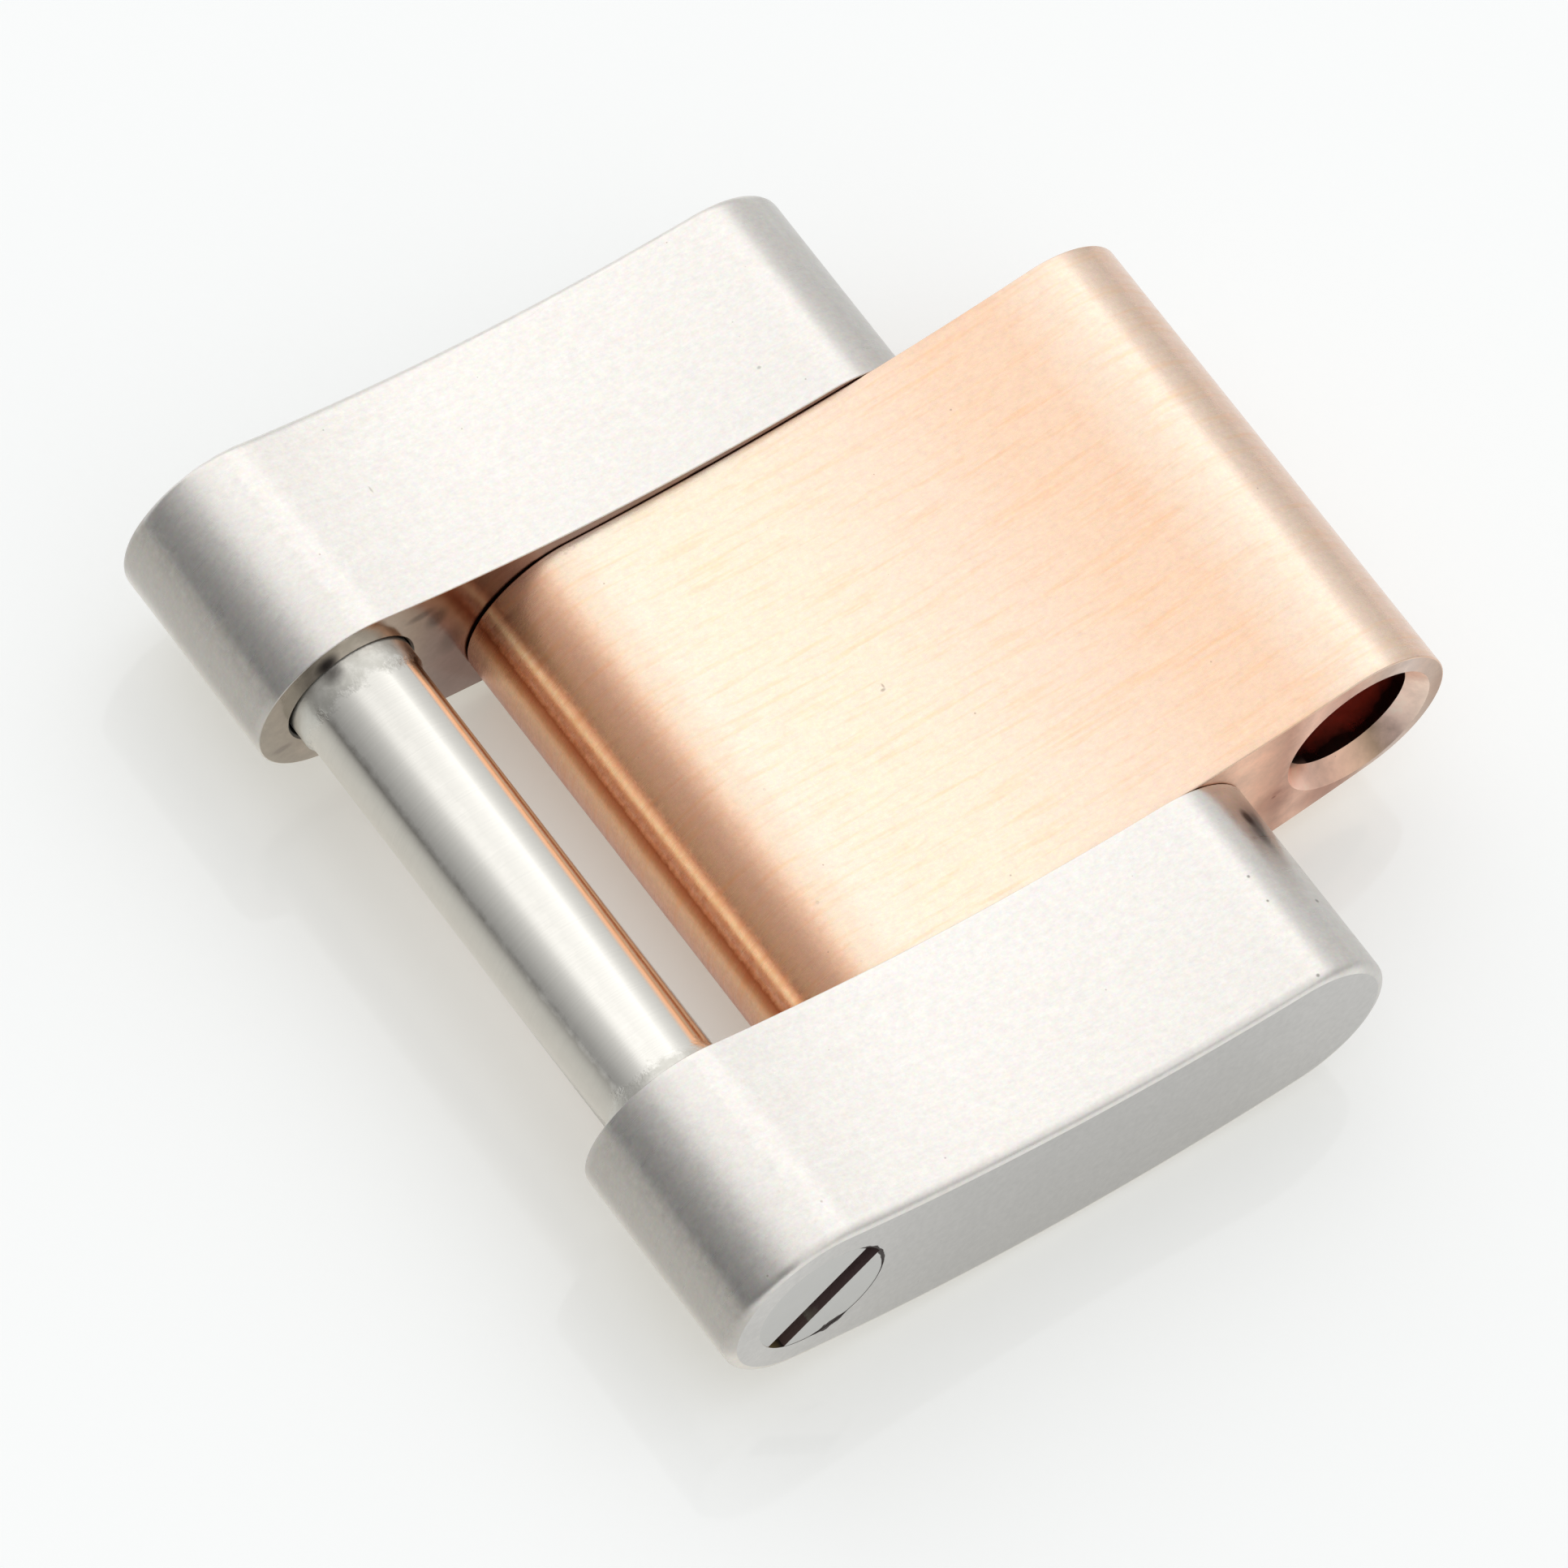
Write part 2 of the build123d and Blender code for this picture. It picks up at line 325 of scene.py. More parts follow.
# %% Marks group
SMALLEST = 0.0001
marks_group, marks_in, marks_out = new_group(
    "small_marks", {"Speck Scale": 3.0, "Speck Size": 0.06}, {"Specks": "Float"}
)
inputs = {"Vector": place_in_mm(marks_group), "Scale": marks_in.outputs["Speck Scale"]}
cells = add(marks_group, "TexVoronoi", inputs).outputs
chance = add(marks_group, "SeparateColor", {"Color": cells["Color"]}).outputs["Red"]
share = remap(marks_group, chance, 0.55, 1.0, 0.0, 1.0)
size_by_cell = times(marks_group, marks_in.outputs["Speck Size"], share)
size_by_cell = math_node(marks_group, "ADD", size_by_cell, SMALLEST)
away = math_node(marks_group, "DIVIDE", cells["Distance"], size_by_cell)
speck = minus(marks_group, 1.0, away, clamp=True)
speck = times(marks_group, speck, 2.5, clamp=True)
marks_group.links.new(speck, marks_out.inputs["Specks"])
print("Marks group has", len(marks_group.nodes), "nodes")

# %% [markdown]
# ## Brushed steel
# The outer links are brushed along the bracelet. A brushed face spreads its highlight across
# the scratches, so the shader is anisotropic, with its tangent across the bracelet. Colour,
# roughness and bump all read the same grain, as one scratch changes all three. The shades by
# place and by nose angle are painted reflections and painted shade: they stand for what the
# photographer's room shows in the metal. They were set and corrected by comparing renders with
# the photo, so they stay put in any light.


# %% Brushed metal
def use_group(tree, group, inputs=None):
    """Place a node group in a material."""
    node = tree.nodes.new("ShaderNodeGroup")
    node.node_tree = group
    for socket, value in (inputs or {}).items():
        join(tree, value, node.inputs[socket])
    return node


def mix_colour(tree, factor, first, second, blend="MIX"):
    """Return two colours mixed by factor."""
    node = add(tree, "Mix", {"Factor": factor}, data_type="RGBA", blend_type=blend)
    for socket, value in zip(node.inputs[6:8], (first, second)):
        join(tree, (*value, 1.0) if isinstance(value, tuple) else value, socket)
    return node.outputs[2]


def metal(name, anisotropy=0.0):
    """Start a metal material and return it with its tree and shader."""
    material = bpy.data.materials.new(name)
    material.use_nodes = True
    shader = material.node_tree.nodes["Principled BSDF"]
    shader.inputs["Metallic"].default_value = 1.0
    shader.inputs["Anisotropic"].default_value = anisotropy
    return material, material.node_tree, shader


def brush_across(tree, shader):
    """Turn the shader's tangent across the bracelet, at right angles to the brushing."""
    spaces = {"convert_from": "OBJECT", "convert_to": "WORLD"}
    across = {"Vector": (0.0, 1.0, 0.0)}
    tangent = add(tree, "VectorTransform", across, vector_type="VECTOR", **spaces)
    tree.links.new(tangent.outputs["Vector"], shader.inputs["Tangent"])


def bump(tree, height, strength, distance, normal=None):
    """Return a normal tilted by a height."""
    inputs = {"Height": height, "Strength": strength, "Distance": distance * MM}
    if normal:
        inputs["Normal"] = normal
    return add(tree, "Bump", inputs).outputs["Normal"]


def link_shader(tree, shader, colour, roughness, normal):
    """Link the three results that a finish works out to its shader."""
    results = {"Base Color": colour, "Roughness": roughness, "Normal": normal}
    for socket, value in results.items():
        tree.links.new(value, shader.inputs[socket])


def times_shade(tree, colour, shade):
    """Return a colour made darker or brighter by a shade."""
    grey = add(tree, "CombineColor", {"Red": shade, "Green": shade, "Blue": shade})
    return mix_colour(tree, 1.0, colour, grey.outputs["Color"], "MULTIPLY")


def tinted_speckle(tree, colour, speckle, strength):
    """Return a colour multiplied by a speckle whose three channels differ a little."""
    near_white = mix_colour(tree, strength, PLAIN, speckle)
    back_to_level = 1.0 / (1.0 - strength / 2)
    lifted = vector_node(tree, "SCALE", near_white, back_to_level)
    return mix_colour(tree, 1.0, colour, lifted, "MULTIPLY")


GREY_STAIN_AND_SHADE = (0.07, 0.055, 0.05)
BROWN_STAIN_AND_SHADE = (0.28, 0.09, 0.05)
SPOT_CORE = 0.4


def stained_and_shaded(tree, colour, spots, spot_colour=GREY_STAIN_AND_SHADE):
    """Return a colour darkened in spots of stain and painted shade: middle, half sizes and
    strength.
    """
    place = place_in_mm(tree)
    for middle, sizes, strength in spots:
        away = vector_node(tree, "SUBTRACT", place, middle)
        share = vector_node(tree, "MULTIPLY", away, [1 / size for size in sizes])
        reach = vector_node(tree, "LENGTH", share)
        mask = remap(tree, reach, SPOT_CORE, 1.0, strength, 0.0)
        colour = mix_colour(tree, mask, colour, spot_colour)
    return colour


def on_side(y, spots):
    """List spots on the flat side at y, given as x, z, half width, half height and strength."""
    return [((x, y, z), (wide, 0.1, high), strength) for x, z, wide, high, strength in spots]


def angle_round(tree, centre):
    """Return the angle round a nose in degrees: 0 straight up, minus towards the screw pin."""
    parts = split_place(tree)
    x = minus(tree, parts["X"], centre[0])
    z = minus(tree, parts["Z"], centre[1])
    return in_degrees(tree, x, z)


SPECK_COLOUR, PIT_COLOUR = (0.22, 0.18, 0.14), (0.40, 0.30, 0.27)


def brushed_metal(
    name, *, colours, nose, nose_shades, uneven_nose, rims, rim_colour, roughness, tint,
    streak_tint, pitted, spots
):
    """Make a brushed metal whose colours by place and nose angle hold painted reflections and
    shade.
    """
    material, tree, shader = metal(name, anisotropy=0.7)
    brush_across(tree, shader)
    grain = use_group(tree, grain_group)
    rim_mask = use_group(tree, rim_group, {"Inner Rim": rims[0], "Outer Rim": rims[1]})
    marks = use_group(tree, marks_group)
    mottle = noise(tree, place_in_mm(tree), (7.0, 9.0, 7.0), detail=4.0, roughness=0.7)
    x = split_place(tree)["X"]
    # The colours along X and round the nose paint reflections and shade into the metal.
    colour = by_place(tree, x, colours)
    wobble = remap(tree, mottle, 0.25, 0.75, -uneven_nose, uneven_nose)
    round_nose = math_node(tree, "ADD", angle_round(tree, nose), wobble)
    on_nose = by_place(tree, round_nose, nose_shades, -120.0, 0.0)
    colour = mix_colour(tree, 1.0, colour, on_nose, "MULTIPLY")
    fine = remap(tree, grain.outputs["Grain"], 0.25, 0.75, 0.965, 1.025)
    broad = by_noise(tree, grain.outputs["Streaks"], 0.98, 1.02)
    patchy = by_noise(tree, mottle, 0.95, 1.04)
    shade = times(tree, times(tree, fine, broad), patchy)
    colour = times_shade(tree, colour, shade)
    colour = tinted_speckle(tree, colour, grain.outputs["Speckle"], tint)
    streaked = remap(tree, grain.outputs["Streaks"], 0.50, 0.70, 0.0, 1.0)
    streak = mix_colour(tree, 1.0, colour, streak_tint, "MULTIPLY")
    colour = mix_colour(tree, streaked, colour, streak)
    # On steel the rim mask adds wear; on rose gold it paints shade along the rims.
    rim_mix = times(tree, rim_mask.outputs["Rim Mask"], 0.18)
    colour = mix_colour(tree, rim_mix, colour, rim_colour)
    specked = times(tree, marks.outputs["Specks"], 0.45)
    colour = mix_colour(tree, specked, colour, SPECK_COLOUR)
    pits = use_group(tree, marks_group, {"Speck Scale": 5.0, "Speck Size": 0.22})
    line = by_place(tree, x, shades(PLAIN, pitted))
    pitted_here = times(tree, pits.outputs["Specks"], line)
    colour = mix_colour(tree, pitted_here, colour, PIT_COLOUR)
    colour = stained_and_shaded(tree, colour, spots)
    rough = by_noise(tree, grain.outputs["Streaks"], *roughness)
    normal = bump(tree, grain.outputs["Grain"], 0.10, 0.0008)
    pores = add(tree, "SeparateColor", {"Color": grain.outputs["Speckle"]}).outputs["Green"]
    normal = bump(tree, pores, 0.5, 0.0014, normal)
    normal = bump(tree, mottle, 0.4, 0.004, normal)
    normal = bump(tree, noise(tree, place_in_mm(tree), (0.5, 0.9, 0.5)), 0.5, 0.012, normal)
    link_shader(tree, shader, colour, rough, normal)
    return material


STEEL = (0.825, 0.797, 0.757)
HINGE = Vector((-5.45, 2.0527))
EAR_INNER, EAR_OUTER = 3.75, 7.0
WARM = (1.0, 0.975, 0.94)
# Painted reflections and painted shade round the hinge nose, the low part tinted warm.
EAR_NOSE_PAINTED_LOW = [
    (-120, 0.95), (-104, 0.90), (-98, 0.72), (-92, 0.60), (-84, 0.57), (-66, 0.555), (-60, 0.64),
]
EAR_NOSE_PAINTED_SHADES = [
    (-55, 0.69), (-50, 0.79), (-44, 0.80), (-36, 0.90), (-26, 1.0), (-14, 0.98), (-3, 0.96),
    (0, 1.0),
]
# Painted reflections along X on the steel: a bright line near the hinge, darker far noses.
STEEL_PAINTED_REFLECTIONS = [
    (-7.0, 1.0), (-5.30, 1.0), (-5.17, 1.05), (-5.02, 1.005), (-4.6, 0.99), (-3.5, 0.995),
    (-2.5, 1.01), (1.0, 1.0), (2.35, 1.0), (2.55, 1.0), (2.7, 0.91), (3.01, 0.95), (3.13, 0.83),
    (3.24, 0.70), (3.4, 0.66), (7.0, 0.66),
]
STEEL_PITS = [(-7.0, 0.0), (-5.65, 0.0), (-5.5, 0.6), (-5.15, 0.6), (-5.0, 0.0), (7.0, 0.0)]
STEEL_MARKS_AND_DARK_REFLECTION = [
    ((2.53, -5.21, 3.02), (0.03, 0.03, 0.1), 0.6),
    ((2.53, -5.64, 3.02), (0.025, 0.025, 0.1), 0.6),
    ((3.24, -5.84, 2.66), (0.04, 0.04, 0.1), 0.6),
    ((2.43, -6.90, 3.03), (0.035, 0.03, 0.1), 0.6),
    ((-4.02, 5.56, 3.28), (0.02, 0.07, 0.1), 0.3),
    ((1.56, 4.56, 2.99), (0.04, 0.03, 0.1), 0.35),
    ((-6.13, -6.95, 3.34), (0.26, 0.05, 0.14), 0.18),
    # These two spots on the far nose paint a dark reflection; the others are marks.
    ((3.175, -4.36, 2.72), (0.12, 0.18, 0.12), 0.85),
    ((3.18, -4.62, 2.72), (0.12, 0.30, 0.12), 0.35),
]
brushed_steel = brushed_metal(
    "brushed_steel",
    colours=shades(STEEL, STEEL_PAINTED_REFLECTIONS),
    nose=HINGE,
    nose_shades=shades(WARM, EAR_NOSE_PAINTED_LOW) + shades(PLAIN, EAR_NOSE_PAINTED_SHADES),
    uneven_nose=3.0,
    rims=(EAR_INNER, EAR_OUTER),
    rim_colour=(0.93, 0.90, 0.86),
    roughness=(0.26, 0.34),
    tint=0.22,
    streak_tint=(1.0, 0.985, 0.975),
    pitted=STEEL_PITS,
    spots=STEEL_MARKS_AND_DARK_REFLECTION,
)
print("Brushed steel has", len(brushed_steel.node_tree.nodes), "nodes")

# %% [markdown]
# ## Rose gold
# The centre link is brushed the same way. Its colour along the length holds painted
# reflections and painted shade: deeper at the inner nose, palest on top, peach near the bore.
# A ramp along X holds that, and a second one round the inner nose paints the dark and orange
# bands that the pin's reflection makes there.

# %% Brushed rose gold
# The gold's colour along X, with painted reflections and painted shade.
GOLD_PAINTED_REFLECTIONS = [
    (-3.5, (0.86, 0.51, 0.34)),
    (-2.6, (0.87, 0.62, 0.47)),
    (-1.9, (0.91, 0.79, 0.65)),
    (-1.0, (0.91, 0.79, 0.63)),
    (0.3, (0.91, 0.78, 0.62)),
    (1.3, (0.91, 0.74, 0.59)),
    (2.5, (0.90, 0.69, 0.54)),
    (3.6, (0.89, 0.64, 0.47)),
    (4.6, (0.89, 0.63, 0.46)),
    (5.2, (0.91, 0.72, 0.57)),
    (5.8, (0.96, 0.78, 0.64)),
    (6.26, (0.94, 0.72, 0.57)),
    (6.38, (0.88, 0.64, 0.51)),
    (6.49, (0.79, 0.58, 0.46)),
    (6.9, (0.79, 0.59, 0.48)),
]
CENTRE_SIDE = 3.742
INNER_NOSE = Vector((-2.1787, 1.4577))
# Painted reflections round the inner nose: the dark and orange bands of the mirrored pin.
INNER_NOSE_PAINTED_REFLECTIONS = [
    (-120, (0.68, 0.46, 0.36)),
    (-104, (0.65, 0.40, 0.29)),
    (-98, (0.76, 0.63, 0.56)),
    (-86, (0.88, 0.87, 0.85)),
    (-80, (0.96, 0.98, 0.91)),
    (-77, (0.94, 0.84, 0.72)),
    (-74, (0.71, 0.54, 0.38)),
    (-71, (0.58, 0.34, 0.22)),
    (-67, (0.45, 0.20, 0.11)),
    (-64, (0.90, 0.64, 0.50)),
    (-61, (1.15, 1.25, 1.40)),
    (-56, (1.15, 1.33, 1.20)),
    (-53, (0.98, 0.86, 0.72)),
    (-50, (0.80, 0.58, 0.46)),
    (-47, (1.06, 0.86, 0.70)),
    (-44, (1.15, 0.97, 0.78)),
    (-38, (1.12, 0.93, 0.80)),
    (-32, (1.00, 0.84, 0.75)),
    (-26, (0.94, 0.81, 0.73)),
    (-20, (0.95, 0.85, 0.78)),
    (-14, (1.04, 1.02, 0.98)),
    (-8, (1.00, 1.07, 1.06)),
    (0, PLAIN),
]
GOLD_PITS = [(-7.0, 0.0), (-2.6, 0.0), (-2.4, 0.3), (-2.1, 0.3), (-1.9, 0.0), (7.0, 0.0)]
GOLD_SPOTS = [
    ((0.175, -0.285, 2.81), (0.05, 0.03, 0.1), 0.45),
    ((0.21, -0.23, 2.81), (0.02, 0.05, 0.1), 0.4),
]
brushed_gold = brushed_metal(
    "brushed_rose_gold",
    colours=GOLD_PAINTED_REFLECTIONS,
    nose=INNER_NOSE,
    nose_shades=INNER_NOSE_PAINTED_REFLECTIONS,
    uneven_nose=1.2,
    rims=(CENTRE_SIDE, CENTRE_SIDE),
    # Painted shade: the rose gold's rims are darkened brown.
    rim_colour=(0.55, 0.36, 0.27),
    roughness=(0.22, 0.32),
    tint=0.20,
    streak_tint=(1.0, 0.92, 0.83),
    pitted=GOLD_PITS,
    spots=GOLD_SPOTS,
)
print("Rose gold has", len(GOLD_PAINTED_REFLECTIONS), "shades along the link")

# %% [markdown]
# ## Painted shade round the screw's head
# The head sits so close in its hole that the gap between them hardly shows, so its shade is
# painted: a dark band round the hinge axis, whose width changes with the angle and is widest
# at a chip in the rim. The face and the head share it, so it is a group.

# %% Ring shade group
GAP_SHADE = (0.035, 0.022, 0.020)
RING_RADIUS = 0.968
RING_WIDTHS = [
    (-180, 0.0), (-95, 0.0), (-88, 0.03), (-79, 0.085), (-67, 0.065), (-58, 0.004), (-30, 0.005),
    (-12, 0.009), (2, 0.022), (18, 0.040), (38, 0.048), (50, 0.030), (60, 0.006), (92, 0.003),
    (105, 0.005), (120, 0.006), (140, 0.004), (152, 0.0), (180, 0.0),
]
WIDEST = max(width for angle, width in RING_WIDTHS)
RING_HARDNESS = 120.0
ring_group, _, ring_out = new_group("ring_gap_shade", {}, {"Gap Shade": "Float"})
parts = split_place(ring_group)
from_axis_x = minus(ring_group, parts["X"], HINGE.x)
from_axis_z = minus(ring_group, parts["Z"], HINGE.y)
flat_place = add(ring_group, "CombineXYZ", {"X": from_axis_x, "Z": from_axis_z}).outputs["Vector"]
reach = vector_node(ring_group, "LENGTH", flat_place)
turn = in_degrees(ring_group, from_axis_z, from_axis_x)
width = by_place(ring_group, turn, shades(PLAIN, RING_WIDTHS, WIDEST), -180.0, 180.0)
width = times(ring_group, width, WIDEST)
ragged = by_noise(ring_group, noise(ring_group, flat_place, (9.0, 9.0, 9.0)), 0.7, 1.2)
width = times(ring_group, width, ragged)
off_ring = minus(ring_group, reach, RING_RADIUS)
off_ring = math_node(ring_group, "ABSOLUTE", off_ring)
inside = minus(ring_group, width, off_ring)
filled = times(ring_group, inside, RING_HARDNESS, clamp=True)
outside = remap(ring_group, parts["Y"], -6.90, -6.80, 1.0, 0.0)
ring_group.links.new(times(ring_group, filled, outside), ring_out.inputs["Gap Shade"])
print("Ring group has", len(ring_group.nodes), "nodes")

# %% [markdown]
# ## Satin sides and bores
# The flat sides are ground, not brushed: a short even grain without a direction. The bores
# and the pin are turned, so their grain runs round the axis, which means that it only changes
# along Y.


# %% Satin and turned metal
def add_specks(tree, colour):
    """Return a colour with a few small dark specks."""
    marks = use_group(tree, marks_group, {"Speck Scale": 4.0, "Speck Size": 0.05})
    specked = times(tree, marks.outputs["Specks"], 0.4)
    return mix_colour(tree, specked, colour, (0.20, 0.17, 0.14))


def plain_metal(
    name, colours, roughness, scales, by_y=False, blotch=0.05, spots=(), spot_colour=GREY_STAIN_AND_SHADE
):
    """Make a metal with one grain, whose colours are given by their place along X, or by |Y|."""
    material, tree, shader = metal(name)
    place = place_in_mm(tree)
    parts = split_place(tree)
    grain = noise(tree, place, scales, detail=3.0)
    cloud = noise(tree, place, (1.6, 1.6, 1.6), detail=5.0, roughness=0.65)
    where = math_node(tree, "ABSOLUTE", parts["Y"]) if by_y else parts["X"]
    wobble = remap(tree, cloud, 0.25, 0.75, -0.10, 0.10)
    # These colour tables are mostly painted shade and painted reflections, set by place.
    colour = by_place(tree, math_node(tree, "ADD", where, wobble), colours)
    fine = remap(tree, grain, 0.25, 0.75, 0.93, 1.05)
    shade = times(tree, fine, by_noise(tree, cloud, 1.0 - blotch, 1.0 + blotch))
    mixed = add_specks(tree, times_shade(tree, colour, shade))
    mixed = stained_and_shaded(tree, mixed, spots, spot_colour)
    # Painted shade of the gap round the screw's head.
    mixed = mix_colour(tree, use_group(tree, ring_group).outputs["Gap Shade"], mixed, GAP_SHADE)
    rough = by_noise(tree, cloud, *roughness)
    link_shader(tree, shader, mixed, rough, bump(tree, grain, 0.4, 0.0015))
    return material


SIDE_STEEL = (0.745, 0.73, 0.71)
# Painted reflection and shade on the outer faces: lighter towards the hinge end, darkest mid
# length.
SIDE_STEEL_PAINTED_SHADES = [
    (-7.0, 0.84), (-6.3, 0.92), (-5.4, 0.86), (-4.2, 0.80), (-3.0, 0.76), (-1.0, 0.75),
    (1.0, 0.76), (2.4, 0.80), (3.6, 0.79), (7.0, 0.79),
]
# Painted shade and a painted reflection of the gold on the ears' inner faces, darkest towards the
# gold.
INSIDE_STEEL_PAINTED_SHADE = [
    (-7.0, (0.46, 0.41, 0.35)),
    (-6.2, (0.44, 0.38, 0.32)),
    (-5.6, (0.60, 0.54, 0.47)),
    (-4.9, (0.60, 0.53, 0.46)),
    (-4.5, (0.45, 0.37, 0.31)),
    (-4.2, (0.36, 0.28, 0.25)),
    (-3.8, (0.30, 0.21, 0.19)),
    (7.0, (0.30, 0.21, 0.19)),
]
# The gold side's colour along X with painted shade: darkest just past the outer link's nose.
SIDE_GOLD_PAINTED_SHADE = [
    (-7.0, (0.80, 0.56, 0.44)),
    (3.7, (0.88, 0.56, 0.41)),
    (4.0, (0.76, 0.45, 0.32)),
    (4.3, (0.56, 0.31, 0.22)),
    (4.7, (0.76, 0.49, 0.38)),
    (5.2, (0.62, 0.36, 0.27)),
    (5.7, (0.60, 0.43, 0.34)),
    (6.2, (0.68, 0.55, 0.48)),
    (6.5, (0.60, 0.45, 0.37)),
    (7.0, (0.47, 0.34, 0.25)),
]
# Painted reflections and painted shade in the bore: red along it, near black at each
# countersink's foot.
BORE_GOLD_PAINTED_SHADE = [(2.8, (0.96, 0.43, 0.34)), (3.12, (0.84, 0.29, 0.21)), (3.34, (0.05, 0.03, 0.025))]
# Painted shade over the joint where the pin enters the far ear.
PIN_EAR_JOINT_SHADE = ((-5.93, 3.68, 3.05), (0.24, 0.22, 0.32), 0.97)
# The pin's dark spots: the painted shade at the far ear's joint, and a stain.
PIN_STAIN_AND_SHADE = [PIN_EAR_JOINT_SHADE, ((-4.72, 3.35, 2.65), (0.22, 0.55, 0.25), 0.6)]
# Painted shade on the far ear's inner face: in the corner by the centre link, and beside the pin.
FAR_EAR_PAINTED_SHADE = [
    (-4.42, 2.98, 0.30, 0.12, 0.5),
    (-4.15, 2.70, 0.22, 0.28, 0.6),
    (-3.85, 1.90, 0.25, 0.40, 0.4),
    (-6.50, 1.40, 0.20, 0.10, 0.3),
]
# Dark spots on the gold's side: the broad one by the outer link is painted shade, two small ones
# paint a dent's shade, the rest are darker patches and marks.
GOLD_SIDE_SHADE_AND_MARKS = [
    (4.25, 1.30, 0.55, 0.45, 0.36),
    (5.20, 0.80, 0.65, 0.32, 0.38),
    (6.90, 2.00, 0.25, 0.60, 0.20),
    (4.29, 1.48, 0.10, 0.07, 0.35),
    (4.25, 1.40, 0.05, 0.04, 0.85),
    (6.58, 2.07, 0.035, 0.035, 0.8),
    (6.48, 1.70, 0.03, 0.03, 0.5),
]
# Inside the screw's hole: ochre crust at the slot's lower end, and painted shade, near black,
# elsewhere.
CRUST_AND_HOLE_SHADE = [(-6.11, (0.42, 0.33, 0.16)), (-5.98, (0.10, 0.08, 0.07))]
# Painted reflections and shade in the countersink: light where it mirrors the room, a dark band
# right of middle.
COUNTERSINK_PAINTED_LIGHT = [
    (4.6, (0.98, 0.65, 0.53)),
    (5.4, (0.96, 0.62, 0.47)),
    (6.0, (0.66, 0.46, 0.32)),
    (6.3, (0.96, 0.70, 0.60)),
    (6.7, (0.90, 0.72, 0.61)),
]
even = (9.0, 9.0, 9.0)
round_y = (0.5, 25.0, 0.5)
satin_steel = plain_metal("satin_steel", shades(SIDE_STEEL, SIDE_STEEL_PAINTED_SHADES), (0.36, 0.46), even)
far_ear_spots = [PIN_EAR_JOINT_SHADE, *on_side(EAR_INNER, FAR_EAR_PAINTED_SHADE)]
ground_steel = plain_metal(
    "ground_steel", INSIDE_STEEL_PAINTED_SHADE, (0.14, 0.22), even, blotch=0.12, spots=far_ear_spots
)
# Painted shade: the bores are near black inside.
bored_steel = plain_metal("bored_steel", [(0.0, (0.16, 0.15, 0.14))], (0.35, 0.5), round_y)
crusted_and_shaded_steel = plain_metal("crusted_and_shaded_steel", CRUST_AND_HOLE_SHADE, (0.5, 0.6), even)
satin_gold = plain_metal(
    "satin_rose_gold", SIDE_GOLD_PAINTED_SHADE, (0.30, 0.42), even, blotch=0.22,
    spots=on_side(-CENTRE_SIDE, GOLD_SIDE_SHADE_AND_MARKS), spot_colour=BROWN_STAIN_AND_SHADE,
)
countersink_gold = plain_metal("countersink_rose_gold", COUNTERSINK_PAINTED_LIGHT, (0.28, 0.38), even, blotch=0.18)
bored_gold = plain_metal("bored_rose_gold", BORE_GOLD_PAINTED_SHADE, (0.25, 0.35), even, by_y=True)
print("Plain metals ready")

# %% [markdown]
# ## Turned steel
# The pin is turned, so its fine lines run round it. The next link has polished the shank,
# while the lands beside the ears are mottled and dull: a mask on Y tells the two apart.

# %% Turned steel
LAND_BEGINS, SHANK_ENDS = 3.46, 3.30
HEAD_FACE = (-6.90, -6.95)
LAND_COLOUR = (0.66, 0.645, 0.59)
PIN_STEEL = (0.86, 0.84, 0.785)
# Painted reflections and painted shade round the pin, the low part tinted warm.
PIN_PAINTED_SHADES_LOW = [
    (-120, 0.88), (-105, 0.86), (-97, 0.82), (-89, 0.77), (-81, 0.72), (-73, 0.67), (-65, 0.61),
    (-57, 0.54),
]
PIN_PAINTED_SHADES = [
    (-50, 1.00), (-41, 1.05), (-33, 1.07), (-25, 1.06), (-17, 1.06), (-8, 0.92), (0, 0.93),
    (12, 1.02), (23, 0.98), (31, 0.97), (39, 1.05), (47, 1.35), (56, 0.86), (62, 0.90),
    (66, 1.15), (80, 1.15),
]
HEAD_COLOUR = (0.62, 0.615, 0.60)


